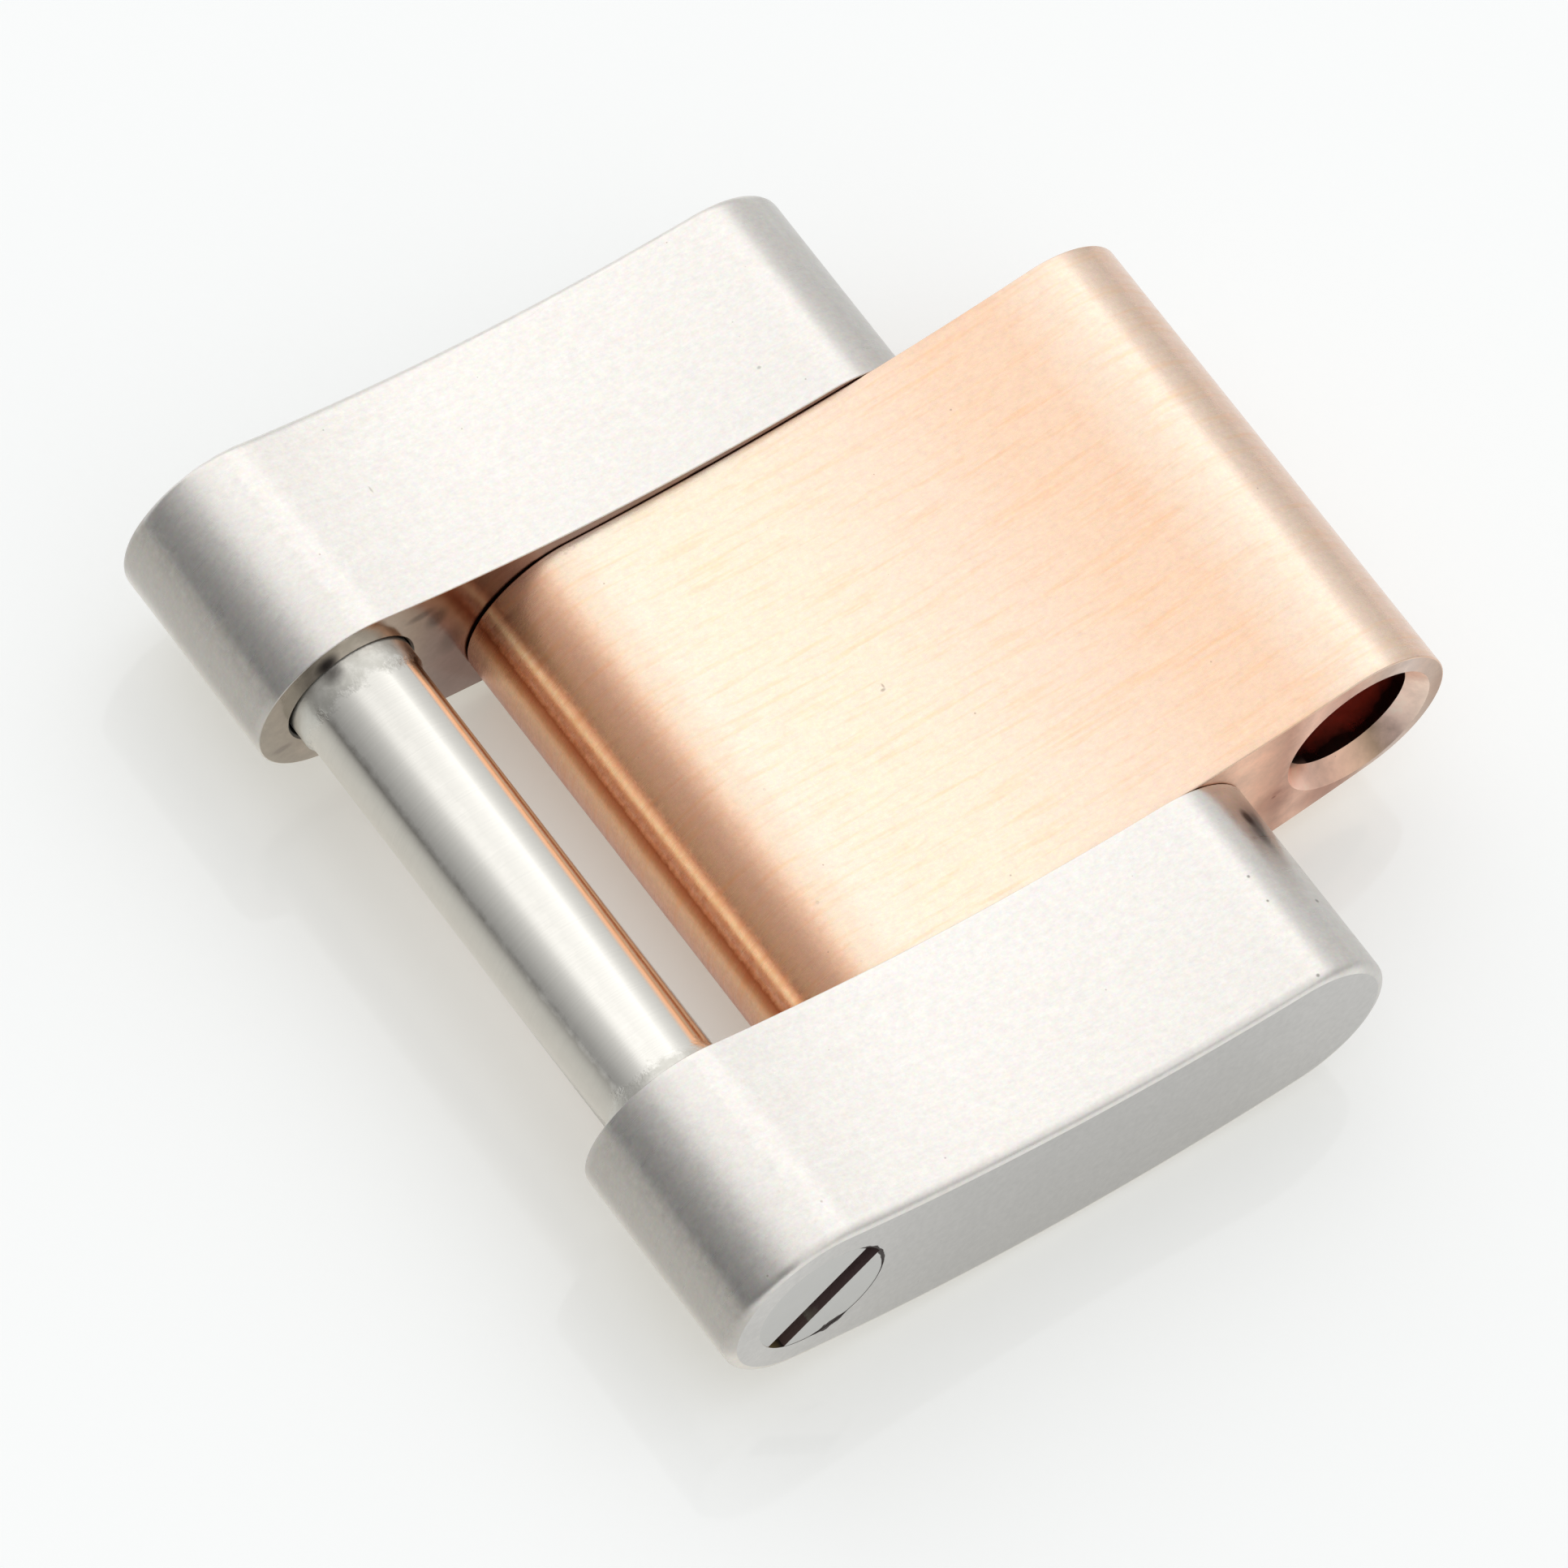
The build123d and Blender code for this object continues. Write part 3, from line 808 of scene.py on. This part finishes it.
def turned_metal(name, colour):
    """Make the pin's metal, polished at the middle and mottled towards the ears."""
    material, tree, shader = metal(name)
    place = place_in_mm(tree)
    y = split_place(tree)["Y"]
    mottle = noise(tree, place, (5.0, 5.0, 5.0), detail=4.0, roughness=0.7)
    edge = by_noise(tree, mottle, -0.12, 0.10)
    across = math_node(tree, "ADD", math_node(tree, "ABSOLUTE", y), edge)
    dull = remap(tree, across, SHANK_ENDS, LAND_BEGINS, 0.0, 1.0)
    on_head = remap(tree, y, *HEAD_FACE, 0.0, 1.0)
    dull = minus(tree, dull, on_head, clamp=True)
    patchy = remap(tree, mottle, 0.38, 0.62, 0.35, 1.0)
    lines = noise(tree, place, (0.4, 45.0, 0.4), detail=3.0)
    shade = remap(tree, lines, 0.25, 0.75, 0.97, 1.03)
    mixed = times_shade(tree, colour, shade)
    # Painted reflections and painted shade round the pin.
    stops = shades(WARM, PIN_PAINTED_SHADES_LOW) + shades(PLAIN, PIN_PAINTED_SHADES)
    turn = math_node(tree, "ADD", angle_round(tree, HINGE), by_noise(tree, mottle, -2, 2))
    mixed = mix_colour(tree, 1.0, mixed, by_place(tree, turn, stops, -120.0, 80.0), "MULTIPLY")
    mixed = mix_colour(tree, times(tree, dull, patchy), mixed, LAND_COLOUR)
    mixed = add_specks(tree, mixed)
    mixed = mix_colour(tree, on_head, mixed, HEAD_COLOUR)
    mixed = stained_and_shaded(tree, mixed, PIN_STAIN_AND_SHADE)
    # Painted shade of the gap round the screw's head.
    mixed = mix_colour(tree, use_group(tree, ring_group).outputs["Gap Shade"], mixed, GAP_SHADE)
    shank_rough = by_noise(tree, mottle, 0.10, 0.16)
    rough = math_node(tree, "ADD", shank_rough, times(tree, dull, 0.2))
    rough = math_node(tree, "ADD", rough, times(tree, on_head, 0.30))
    normal = bump(tree, lines, 0.3, 0.0006)
    normal = bump(tree, times(tree, mottle, dull), 0.5, 0.012, normal)
    link_shader(tree, shader, mixed, rough, normal)
    return material


turned_steel = turned_metal("turned_steel", PIN_STEEL)
print("Turned steel has", len(turned_steel.node_tree.nodes), "nodes")

# %% [markdown]
# ## Side outline
# Seen from the side, every link is a bent bar: two round noses, a long arc below, the crown,
# and a long arc above, the hollow, all tangent. The four arcs are drawn by spinning a single
# vertex round one centre after another, as a draughtsman would with compasses.


# %% Draw a bent bar with four spins
NOSE_STEPS = 56
CROWN_STEPS = 40
HOLLOW_STEPS = 48
NEAR = 0.001
IN_PLANE = 0.00005


def only(kind, items):
    """Return those items of an operator's result that are of one kind, such as BMVert."""
    return [item for item in items if isinstance(item, getattr(bmesh.types, kind))]


def arc_centre(point_a, reach_a, point_b, reach_b):
    """Return the upper point that lies reach_a from point_a and reach_b from point_b."""
    across = point_b - point_a
    forward = across.normalized()
    distance = (reach_a**2 - reach_b**2 + across.length_squared) / (2 * across.length)
    rise = math.sqrt(reach_a**2 - distance**2)
    return point_a + forward * distance + Vector((-forward.y, forward.x)) * rise


def swing(centre, start, end):
    """Return the anticlockwise angle from start to end round a centre."""
    first = math.atan2(start.y - centre.y, start.x - centre.x)
    last = math.atan2(end.y - centre.y, end.x - centre.x)
    return (last - first) % (2 * math.pi)


def bar_outline(bm, y, nose_a, radius_a, nose_b, radius_b, crown_radius, hollow_radius):
    """Draw the outline of a bent bar in the plane at y and return its edges."""
    crown = arc_centre(nose_a, crown_radius - radius_a, nose_b, crown_radius - radius_b)
    hollow = arc_centre(nose_a, hollow_radius + radius_a, nose_b, hollow_radius + radius_b)
    crown_a, crown_b = (
        crown + (nose - crown).normalized() * crown_radius for nose in (nose_a, nose_b)
    )
    hollow_a, hollow_b = (
        hollow + (nose - hollow).normalized() * hollow_radius for nose in (nose_a, nose_b)
    )
    arcs = [
        (crown, swing(crown, crown_a, crown_b), CROWN_STEPS),
        (nose_b, swing(nose_b, crown_b, hollow_b), NOSE_STEPS),
        (hollow, -swing(hollow, hollow_a, hollow_b), HOLLOW_STEPS),
        (nose_a, swing(nose_a, hollow_a, crown_a), NOSE_STEPS),
    ]
    pencil = bm.verts.new((crown_a.x, y, crown_a.y))
    for centre, angle, steps in arcs:
        drawn = bmesh.ops.spin(
            bm, geom=[pencil], cent=(centre.x, y, centre.y), axis=(0, -1, 0), dvec=(0, 0, 0),
            angle=angle, steps=steps, use_merge=False,
        )
        pencil = only("BMVert", drawn["geom_last"])[0]
    bmesh.ops.remove_doubles(bm, verts=bm.verts, dist=NEAR)
    return list(bm.edges)


print("One outline has", CROWN_STEPS + HOLLOW_STEPS + 2 * NOSE_STEPS, "edges")

# %% [markdown]
# ## From outline to bar
# The outline is filled and pushed out across the bracelet. Then its two rims are rounded:
# the tiny radius is what catches the light, and a rim without one looks like paper.


# %% Push out and round the rims
RIM_SEGMENTS = 5
BRUSHED, SATIN, BORED, GROUND = 0, 1, 2, 3


def at_y(verts, y):
    """Say whether all the vertices lie in the plane at y."""
    return all(abs(vert.co.y - y) < IN_PLANE for vert in verts)


def round_edges(bm, edges, radius, segments, clamp=False):
    """Round edges with a bevel."""
    bmesh.ops.bevel(
        bm, geom=edges, offset=radius, offset_type="OFFSET", segments=segments, profile=0.5,
        affect="EDGES", material=-1, clamp_overlap=clamp,
    )


def round_rim(bm, y, radius):
    """Round the rim that lies in the plane at y."""
    round_edges(bm, [edge for edge in bm.edges if at_y(edge.verts, y)], radius, RIM_SEGMENTS)


def push_out(bm, edges, distance):
    """Fill an outline and extrude the face across the bracelet."""
    face = bmesh.ops.edgeloop_fill(bm, edges=edges)["faces"][0]
    moved = bmesh.ops.extrude_face_region(bm, geom=[face])["geom"]
    bmesh.ops.translate(bm, verts=only("BMVert", moved), vec=(0, distance, 0))


print("Rims get", RIM_SEGMENTS, "segments")

# %% [markdown]
# ## Holes
# A hole is opened in three moves. The flat side is taken off and filled again round circles,
# then each circle is drawn inwards ring by ring, wider or narrower as the drill was, and at
# the end it is closed or joined to the circle on the other side.


# %% Pierce and drill
HOLE_STEPS = 64


def pierce(bm, y, holes, finish=SATIN):
    """Refill the flat face at y round holes, given as x, z, radius, and return their rings."""
    flat = [face for face in bm.faces if at_y(face.verts, y)]
    rim = list(flat[0].edges)
    bmesh.ops.delete(bm, geom=flat, context="FACES_ONLY")
    rings = []
    for x, z, radius in holes:
        lie = Matrix.Translation((x, y, z)) @ Matrix.Rotation(math.pi / 2, 4, "X")
        circle = bmesh.ops.create_circle(bm, segments=HOLE_STEPS, radius=radius, matrix=lie)
        rings.append(list({edge for vert in circle["verts"] for edge in vert.link_edges}))
    filled = bmesh.ops.triangle_fill(
        bm, use_beauty=True, edges=rim + [edge for ring in rings for edge in ring]
    )
    for face in only("BMFace", filled["geom"]):
        face.material_index = finish
    return rings


def drill(bm, ring, centre, steps, finish=BORED):
    """Draw a ring along Y through steps of y and radius round a centre; return the last ring."""
    for y, radius in steps:
        corners = {vert for edge in ring for vert in edge.verts}
        middle = sum((vert.co for vert in corners), Vector()) / len(corners)
        corner = ring[0].verts[0].co
        before = math.hypot(corner.x - middle.x, corner.z - middle.z)
        move = (centre[0] - middle.x, y - middle.y, centre[1] - middle.z)
        grown = bmesh.ops.extrude_edge_only(bm, edges=ring)["geom"]
        verts = set(only("BMVert", grown))
        for face in only("BMFace", grown):
            face.material_index = finish
        bmesh.ops.translate(bm, verts=list(verts), vec=move)
        growth = (radius / before, 1, radius / before)
        centred = Matrix.Translation((-centre[0], 0, -centre[1]))
        bmesh.ops.scale(bm, verts=list(verts), vec=growth, space=centred)
        ring = [edge for edge in bm.edges if set(edge.verts) <= verts]
    return ring


def close_hole(bm, ring, finish=BORED):
    """Close the end of a blind hole, or of a pin."""
    for face in bmesh.ops.edgeloop_fill(bm, edges=ring)["faces"]:
        face.material_index = finish


def join_rings(bm, first, second):
    """Join two rings of a hole that goes right through."""
    for face in bmesh.ops.bridge_loops(bm, edges=first + second)["faces"]:
        face.material_index = BORED


print("Holes get", HOLE_STEPS, "steps")

# %% [markdown]
# ## Finishing a piece
# Every piece ends the same way: its faces are turned outwards, it is scaled from millimetres
# to metres, and shading normals are weighted by face area, so that a flat face stays flat
# right up to its rounded rim.


# %% Turn a bmesh into a piece
SHARP_ANGLE = math.radians(32)


def finish_piece(name, bm, materials, body, nodes):
    """Make an object of a bmesh in millimetres, and put it on its body."""
    bmesh.ops.recalc_face_normals(bm, faces=bm.faces)
    bmesh.ops.scale(bm, vec=(MM, MM, MM), verts=bm.verts)
    open_edges = sum(1 for edge in bm.edges if len(edge.link_faces) != 2)
    mesh = bpy.data.meshes.new(name)
    bm.to_mesh(mesh)
    bm.free()
    for material in materials:
        mesh.materials.append(material)
    mesh.shade_smooth()
    mesh.set_sharp_from_angle(angle=SHARP_ANGLE)
    piece = bpy.data.objects.new(name, mesh)
    scene.collection.objects.link(piece)
    weighted = piece.modifiers.new("flat_faces_stay_flat", "WEIGHTED_NORMAL")
    weighted.mode = "FACE_AREA"
    weighted.keep_sharp = True
    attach(piece, body)
    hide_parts(*nodes)
    print(name, "has", len(mesh.polygons), "faces and", open_edges, "open edges")
    return piece


# %% [markdown]
# ## Outer links
# The two outer links are the ears of the hinge. Both have the same outline. The near one has
# a plain hole right through for the screw's head, the far one a blind hole for the thread.

# %% Make the outer links
OUTER_FAR_NOSE = Vector((2.3026, 1.6677))
CROSS_PINS = [(-1.09, 1.4327), (1.21, 1.4327)]
OUTER_FACE_EDGE, OUTER_INNER_EDGE = 0.14, 0.02
HINGE_HOLE = 0.97
HINGE_NOSE_RADIUS, FAR_NOSE_RADIUS = 1.47, 1.37
OUTER_CROWN, OUTER_HOLLOW = 24.7, 25.6
CROSS_PIN_RADIUS = 0.45
CROSS_HOLES = [(x, z, CROSS_PIN_RADIUS) for x, z in CROSS_PINS]
CROSS_HOLE_END = 6.05
PILOT_END, PILOT_CHAMFER = 4.65, 0.03
THREAD_HOLE, THREAD_HOLE_END = 0.69, 6.15


def ear_blank(side):
    """Make the solid bar of an outer link on one side, -1 or 1."""
    bm = bmesh.new()
    noses = (HINGE, HINGE_NOSE_RADIUS, OUTER_FAR_NOSE, FAR_NOSE_RADIUS)
    outline = bar_outline(bm, side * EAR_INNER, *noses, OUTER_CROWN, OUTER_HOLLOW)
    push_out(bm, outline, side * (EAR_OUTER - EAR_INNER))
    round_rim(bm, side * EAR_INNER, OUTER_INNER_EDGE)
    round_rim(bm, side * EAR_OUTER, OUTER_FACE_EDGE)
    return bm


bm = ear_blank(-1)
holes = [(*HINGE, HINGE_HOLE), *CROSS_HOLES]
hinge_inside, *cross_rings = pierce(bm, -EAR_INNER, holes, GROUND)
hinge_outside, = pierce(bm, -EAR_OUTER, [(*HINGE, HINGE_HOLE)])
join_rings(bm, hinge_inside, hinge_outside)
for ring, centre in zip(cross_rings, CROSS_PINS):
    close_hole(bm, drill(bm, ring, centre, [(-CROSS_HOLE_END, CROSS_PIN_RADIUS)]))
finishes = [brushed_steel, satin_steel, crusted_and_shaded_steel, ground_steel]
finish_piece(
    "brushed_outer_link_at_screw_head", bm, finishes, "link",
    ["outer_link_screw_side"],
)

bm = ear_blank(1)
pilot_mouth = (*HINGE, HINGE_HOLE + PILOT_CHAMFER)
pilot, *cross_rings = pierce(bm, EAR_INNER, [pilot_mouth, *CROSS_HOLES], GROUND)
pierce(bm, EAR_OUTER, [])
bore_steps = [
    (EAR_INNER + PILOT_CHAMFER, HINGE_HOLE),
    (PILOT_END, HINGE_HOLE),
    (PILOT_END, THREAD_HOLE),
    (THREAD_HOLE_END, THREAD_HOLE),
]
close_hole(bm, drill(bm, pilot, HINGE, bore_steps))
for ring, centre in zip(cross_rings, CROSS_PINS):
    close_hole(bm, drill(bm, ring, centre, [(CROSS_HOLE_END, CROSS_PIN_RADIUS)]))
finishes = [brushed_steel, satin_steel, bored_steel, ground_steel]
finish_piece(
    "brushed_outer_link_at_thread", bm, finishes, "link",
    ["outer_link_thread_side"],
)

# %% [markdown]
# ## Centre link
# The centre link is shifted half a link towards the free end. Its bore takes the next link's
# screw, and both mouths are countersunk so that the screw finds its way in. The pull of the
# bracelet has worn them off centre, so their circles are a little lower than the bore's.

# %% Make the centre link
BORE = Vector((5.57, 2.0527))
CENTRE_EDGE = 0.02
WORN = 3
SINK_RADIUS, SINK_END, SINK_BLEND = 1.15, 3.472, 3.2
SINK_CENTRE = BORE + Vector((-0.011, -0.1025))
SINK_BOTTOM = BORE + Vector((-0.046, -0.0195))
INNER_NOSE_RADIUS, BORE_NOSE_RADIUS = 1.375, 1.35
CENTRE_CROWN, CENTRE_HOLLOW = 22.2, 30.7
NOSE_DRAW_IN, DRAW_START = 0.018, -1.9


def lap_crown(bm):
    """Grind the crown flat where the link lies on the board, and close the cut."""
    cut = bmesh.ops.bisect_plane(
        bm, geom=bm.verts[:] + bm.edges[:] + bm.faces[:], dist=NEAR * 0.1,
        plane_co=(0, 0, 0), plane_no=(0, 0, -1), clear_outer=True,
    )["geom_cut"]
    bmesh.ops.holes_fill(bm, edges=only("BMEdge", cut))


def draw_in_nose(bm):
    """Taper the two sides towards the inner nose, which leaves a thin gap beside the ears."""
    for vert in bm.verts:
        share = (DRAW_START - vert.co.x) / (DRAW_START - (INNER_NOSE.x - INNER_NOSE_RADIUS))
        if share > 0:
            vert.co.y *= 1 - NOSE_DRAW_IN / CENTRE_SIDE * share**2 * (3 - 2 * share)


bm = bmesh.new()
noses = (INNER_NOSE, INNER_NOSE_RADIUS, BORE, BORE_NOSE_RADIUS)
outline = bar_outline(bm, -CENTRE_SIDE, *noses, CENTRE_CROWN, CENTRE_HOLLOW)
push_out(bm, outline, 2 * CENTRE_SIDE)
round_rim(bm, -CENTRE_SIDE, CENTRE_EDGE)
round_rim(bm, CENTRE_SIDE, CENTRE_EDGE)
mouths = [(*SINK_CENTRE, SINK_RADIUS), *CROSS_HOLES]
near_bore, *near_rings = pierce(bm, -CENTRE_SIDE, mouths)
far_bore, *far_rings = pierce(bm, CENTRE_SIDE, mouths)
bores = []
for side, mouth in ((-1, near_bore), (1, far_bore)):
    bottom = drill(bm, mouth, SINK_BOTTOM, [(side * SINK_END, HINGE_HOLE)], WORN)
    bores.append(drill(bm, bottom, BORE, [(side * SINK_BLEND, HINGE_HOLE)]))
join_rings(bm, *bores)
for near_ring, far_ring in zip(near_rings, far_rings):
    join_rings(bm, near_ring, far_ring)
lap_crown(bm)
draw_in_nose(bm)
finishes = [brushed_gold, satin_gold, bored_gold, countersink_gold]
finish_piece("brushed_centre_link", bm, finishes, "link", ["center_link"])

# %% [markdown]
# ## Slot dirt and shade
# A slot is never clean: it holds dark grease, and at its lower end some dried polish. Its
# darkness is also painted shade, deep in the narrow slot, and a lighter grey band part way
# along is a painted highlight. The dirt is not metal, so its material has no metallic share
# and is rough.

# %% Slot dirt and shade
SLOT_ANGLE = math.radians(43.0)
# Along the slot: ochre polish at the lower end, grease and painted shade, and a painted highlight
# band.
SLOT_DIRT_AND_SHADE = [
    (-1.0, (0.50, 0.40, 0.18)),
    (-0.97, (0.30, 0.22, 0.11)),
    (-0.94, (0.11, 0.065, 0.055)),
    (-0.45, (0.10, 0.062, 0.052)),
    (-0.40, (0.19, 0.17, 0.13)),
    (-0.25, (0.10, 0.060, 0.056)),
    (1.0, (0.085, 0.048, 0.048)),
]

slot_dirt_and_shade = bpy.data.materials.new("slot_dirt_and_shade")
slot_dirt_and_shade.use_nodes = True
tree = slot_dirt_and_shade.node_tree
shader = tree.nodes["Principled BSDF"]
from_axis = vector_node(tree, "SUBTRACT", place_in_mm(tree), (HINGE.x, 0.0, HINGE.y))
slot_way = (math.cos(SLOT_ANGLE), 0.0, math.sin(SLOT_ANGLE))
shares = add(tree, "VectorMath", {0: from_axis, 1: slot_way}, operation="DOT_PRODUCT")
crumbs = noise(tree, place_in_mm(tree), (9.0, 9.0, 9.0), detail=4.0)
spread = by_noise(tree, crumbs, -0.06, 0.06)
slot_place = math_node(tree, "ADD", shares.outputs["Value"], spread)
slot_colour = by_place(tree, slot_place, SLOT_DIRT_AND_SHADE, -1.0, 1.0)
rough = by_noise(tree, crumbs, 0.55, 0.8)
link_shader(tree, shader, slot_colour, rough, bump(tree, crumbs, 0.7, 0.02))
print("Slot dirt has", len(tree.nodes), "nodes")

# %% [markdown]
# ## Screw pin
# A lathe makes the pin, but the slot is sawn across its head. The disc at the slot's floor is
# cut by two planes, and only the two halves beside the slot are pushed out to the head, so
# the slot is simply what is left. The rest of the pin is its rim drawn back, step by step.
# The bearing shank between the ears is polished by the next link, and the lands that sit in
# the ears stay duller, so the rings get their finish from their place along the pin.

# %% Turn the pin and saw its slot
HEAD_END, SLOT_FLOOR = -6.996, -6.47
HEAD, LAND, SHANK, ROOT = 0.9695, 0.945, 0.895, 0.60
SLOT_HALF_WIDTH, SLOT_OFF_CENTRE, SLOT_EDGE = 0.188, -0.09, 0.008
PIN_STEPS = 96
SHANK_END, LAND_START = 3.37, 3.47
THREAD_START, PIN_TIP = 4.55, 5.98
TIP_CHAMFER = 0.10
POLISHED, DIRTY_AND_SHADED = 0, 1
PIN_PROFILE = [
    (-6.2, HEAD),
    (-6.15, LAND),
    (-LAND_START, LAND),
    (-SHANK_END, SHANK),
    (SHANK_END, SHANK),
    (LAND_START, LAND),
    (THREAD_START - 0.03, LAND),
    (THREAD_START, LAND - 0.03),
    (THREAD_START, ROOT),
    (PIN_TIP - TIP_CHAMFER, ROOT),
    (PIN_TIP, ROOT - TIP_CHAMFER),
]


def on_rim(edge):
    """Say whether an edge of the head runs along its rim."""
    middle = (edge.verts[0].co + edge.verts[1].co) / 2
    long_edge = edge.calc_length() > HEAD / 4
    return not long_edge and math.hypot(middle.x - HINGE.x, middle.z - HINGE.y) > HEAD * 0.98


bm = bmesh.new()
lie = Matrix.Translation((HINGE.x, SLOT_FLOOR, HINGE.y)) @ Matrix.Rotation(math.pi / 2, 4, "X")
bmesh.ops.create_circle(bm, cap_ends=True, segments=PIN_STEPS, radius=HEAD, matrix=lie)
across_slot = Vector((-math.sin(SLOT_ANGLE), 0, math.cos(SLOT_ANGLE)))
pin_centre = Vector((HINGE.x, SLOT_FLOOR, HINGE.y))
slot_middle = pin_centre + across_slot * SLOT_OFF_CENTRE
for side in (-1, 1):
    wall = slot_middle + across_slot * side * SLOT_HALF_WIDTH
    bmesh.ops.bisect_plane(
        bm, geom=bm.verts[:] + bm.edges[:] + bm.faces[:], dist=NEAR,
        plane_co=wall, plane_no=across_slot,
    )
halves = [
    face
    for face in bm.faces
    if abs((face.calc_center_median() - slot_middle).dot(across_slot)) > SLOT_HALF_WIDTH
]
raised = bmesh.ops.extrude_face_region(bm, geom=halves)["geom"]
bmesh.ops.delete(bm, geom=[face for face in halves if face.is_valid], context="FACES_ONLY")
bmesh.ops.translate(bm, verts=only("BMVert", raised), vec=(0, HEAD_END - SLOT_FLOOR, 0))
rim = [edge for edge in bm.edges if len(edge.link_faces) == 1]
tip = drill(bm, rim, HINGE, PIN_PROFILE, POLISHED)
close_hole(bm, tip, POLISHED)
slot_edges = [edge for edge in bm.edges if at_y(edge.verts, HEAD_END) and not on_rim(edge)]
round_edges(bm, slot_edges, SLOT_EDGE, 2, clamp=True)
for face in bm.faces:
    middle = face.calc_center_median()
    beside = abs((middle - slot_middle).dot(across_slot))
    in_slot = beside < SLOT_HALF_WIDTH + NEAR and middle.y < SLOT_FLOOR + NEAR
    face.material_index = DIRTY_AND_SHADED if in_slot else POLISHED
print("Pin blank has", len(bm.faces), "faces")

# %% [markdown]
# ## Thread
# A thread is one tooth carried round and forwards at the same time, which is a spin with a
# step of its own along the axis. The tooth is a small four-sided face that starts a little
# inside the core, so that the turns sit on it.

# %% Cut the thread
PITCH, TURNS, STEPS_PER_TURN = 0.25, 4.75, 40
CREST, TOOTH_BURY = 0.685, 0.02
TOOTH_BASE, TOOTH_TOP = 0.21, 0.05

first = THREAD_START + 0.06
tooth = [
    (ROOT - TOOTH_BURY, first),
    (CREST, first + (TOOTH_BASE - TOOTH_TOP) / 2),
    (CREST, first + (TOOTH_BASE + TOOTH_TOP) / 2),
    (ROOT - TOOTH_BURY, first + TOOTH_BASE),
]
corners = [bm.verts.new((HINGE.x + reach, y, HINGE.y)) for reach, y in tooth]
start_face = bm.faces.new(corners)
bmesh.ops.spin(
    bm, geom=[start_face, *start_face.edges, *start_face.verts], cent=(HINGE.x, 0, HINGE.y),
    axis=(0, 1, 0), dvec=(0, PITCH / STEPS_PER_TURN, 0), angle=TURNS * 2 * math.pi,
    steps=round(TURNS * STEPS_PER_TURN), use_merge=False,
)
finish_piece(
    "slotted_screw_pin", bm, [turned_steel, slot_dirt_and_shade], "screw", ["screw_pin"]
)

# %% [markdown]
# ## Cross pins
# The two cross pins are pressed in and hidden. Their CAD solids are right as they are, so
# they only get the pin's finish.

# %% Finish the cross pins
for name in ("cross_pin_screw_end", "cross_pin_bore_end"):
    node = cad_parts[name]
    for slot in node.material_slots:
        slot.material = turned_steel
    print(name, "has", len(node.material_slots), "material slots")
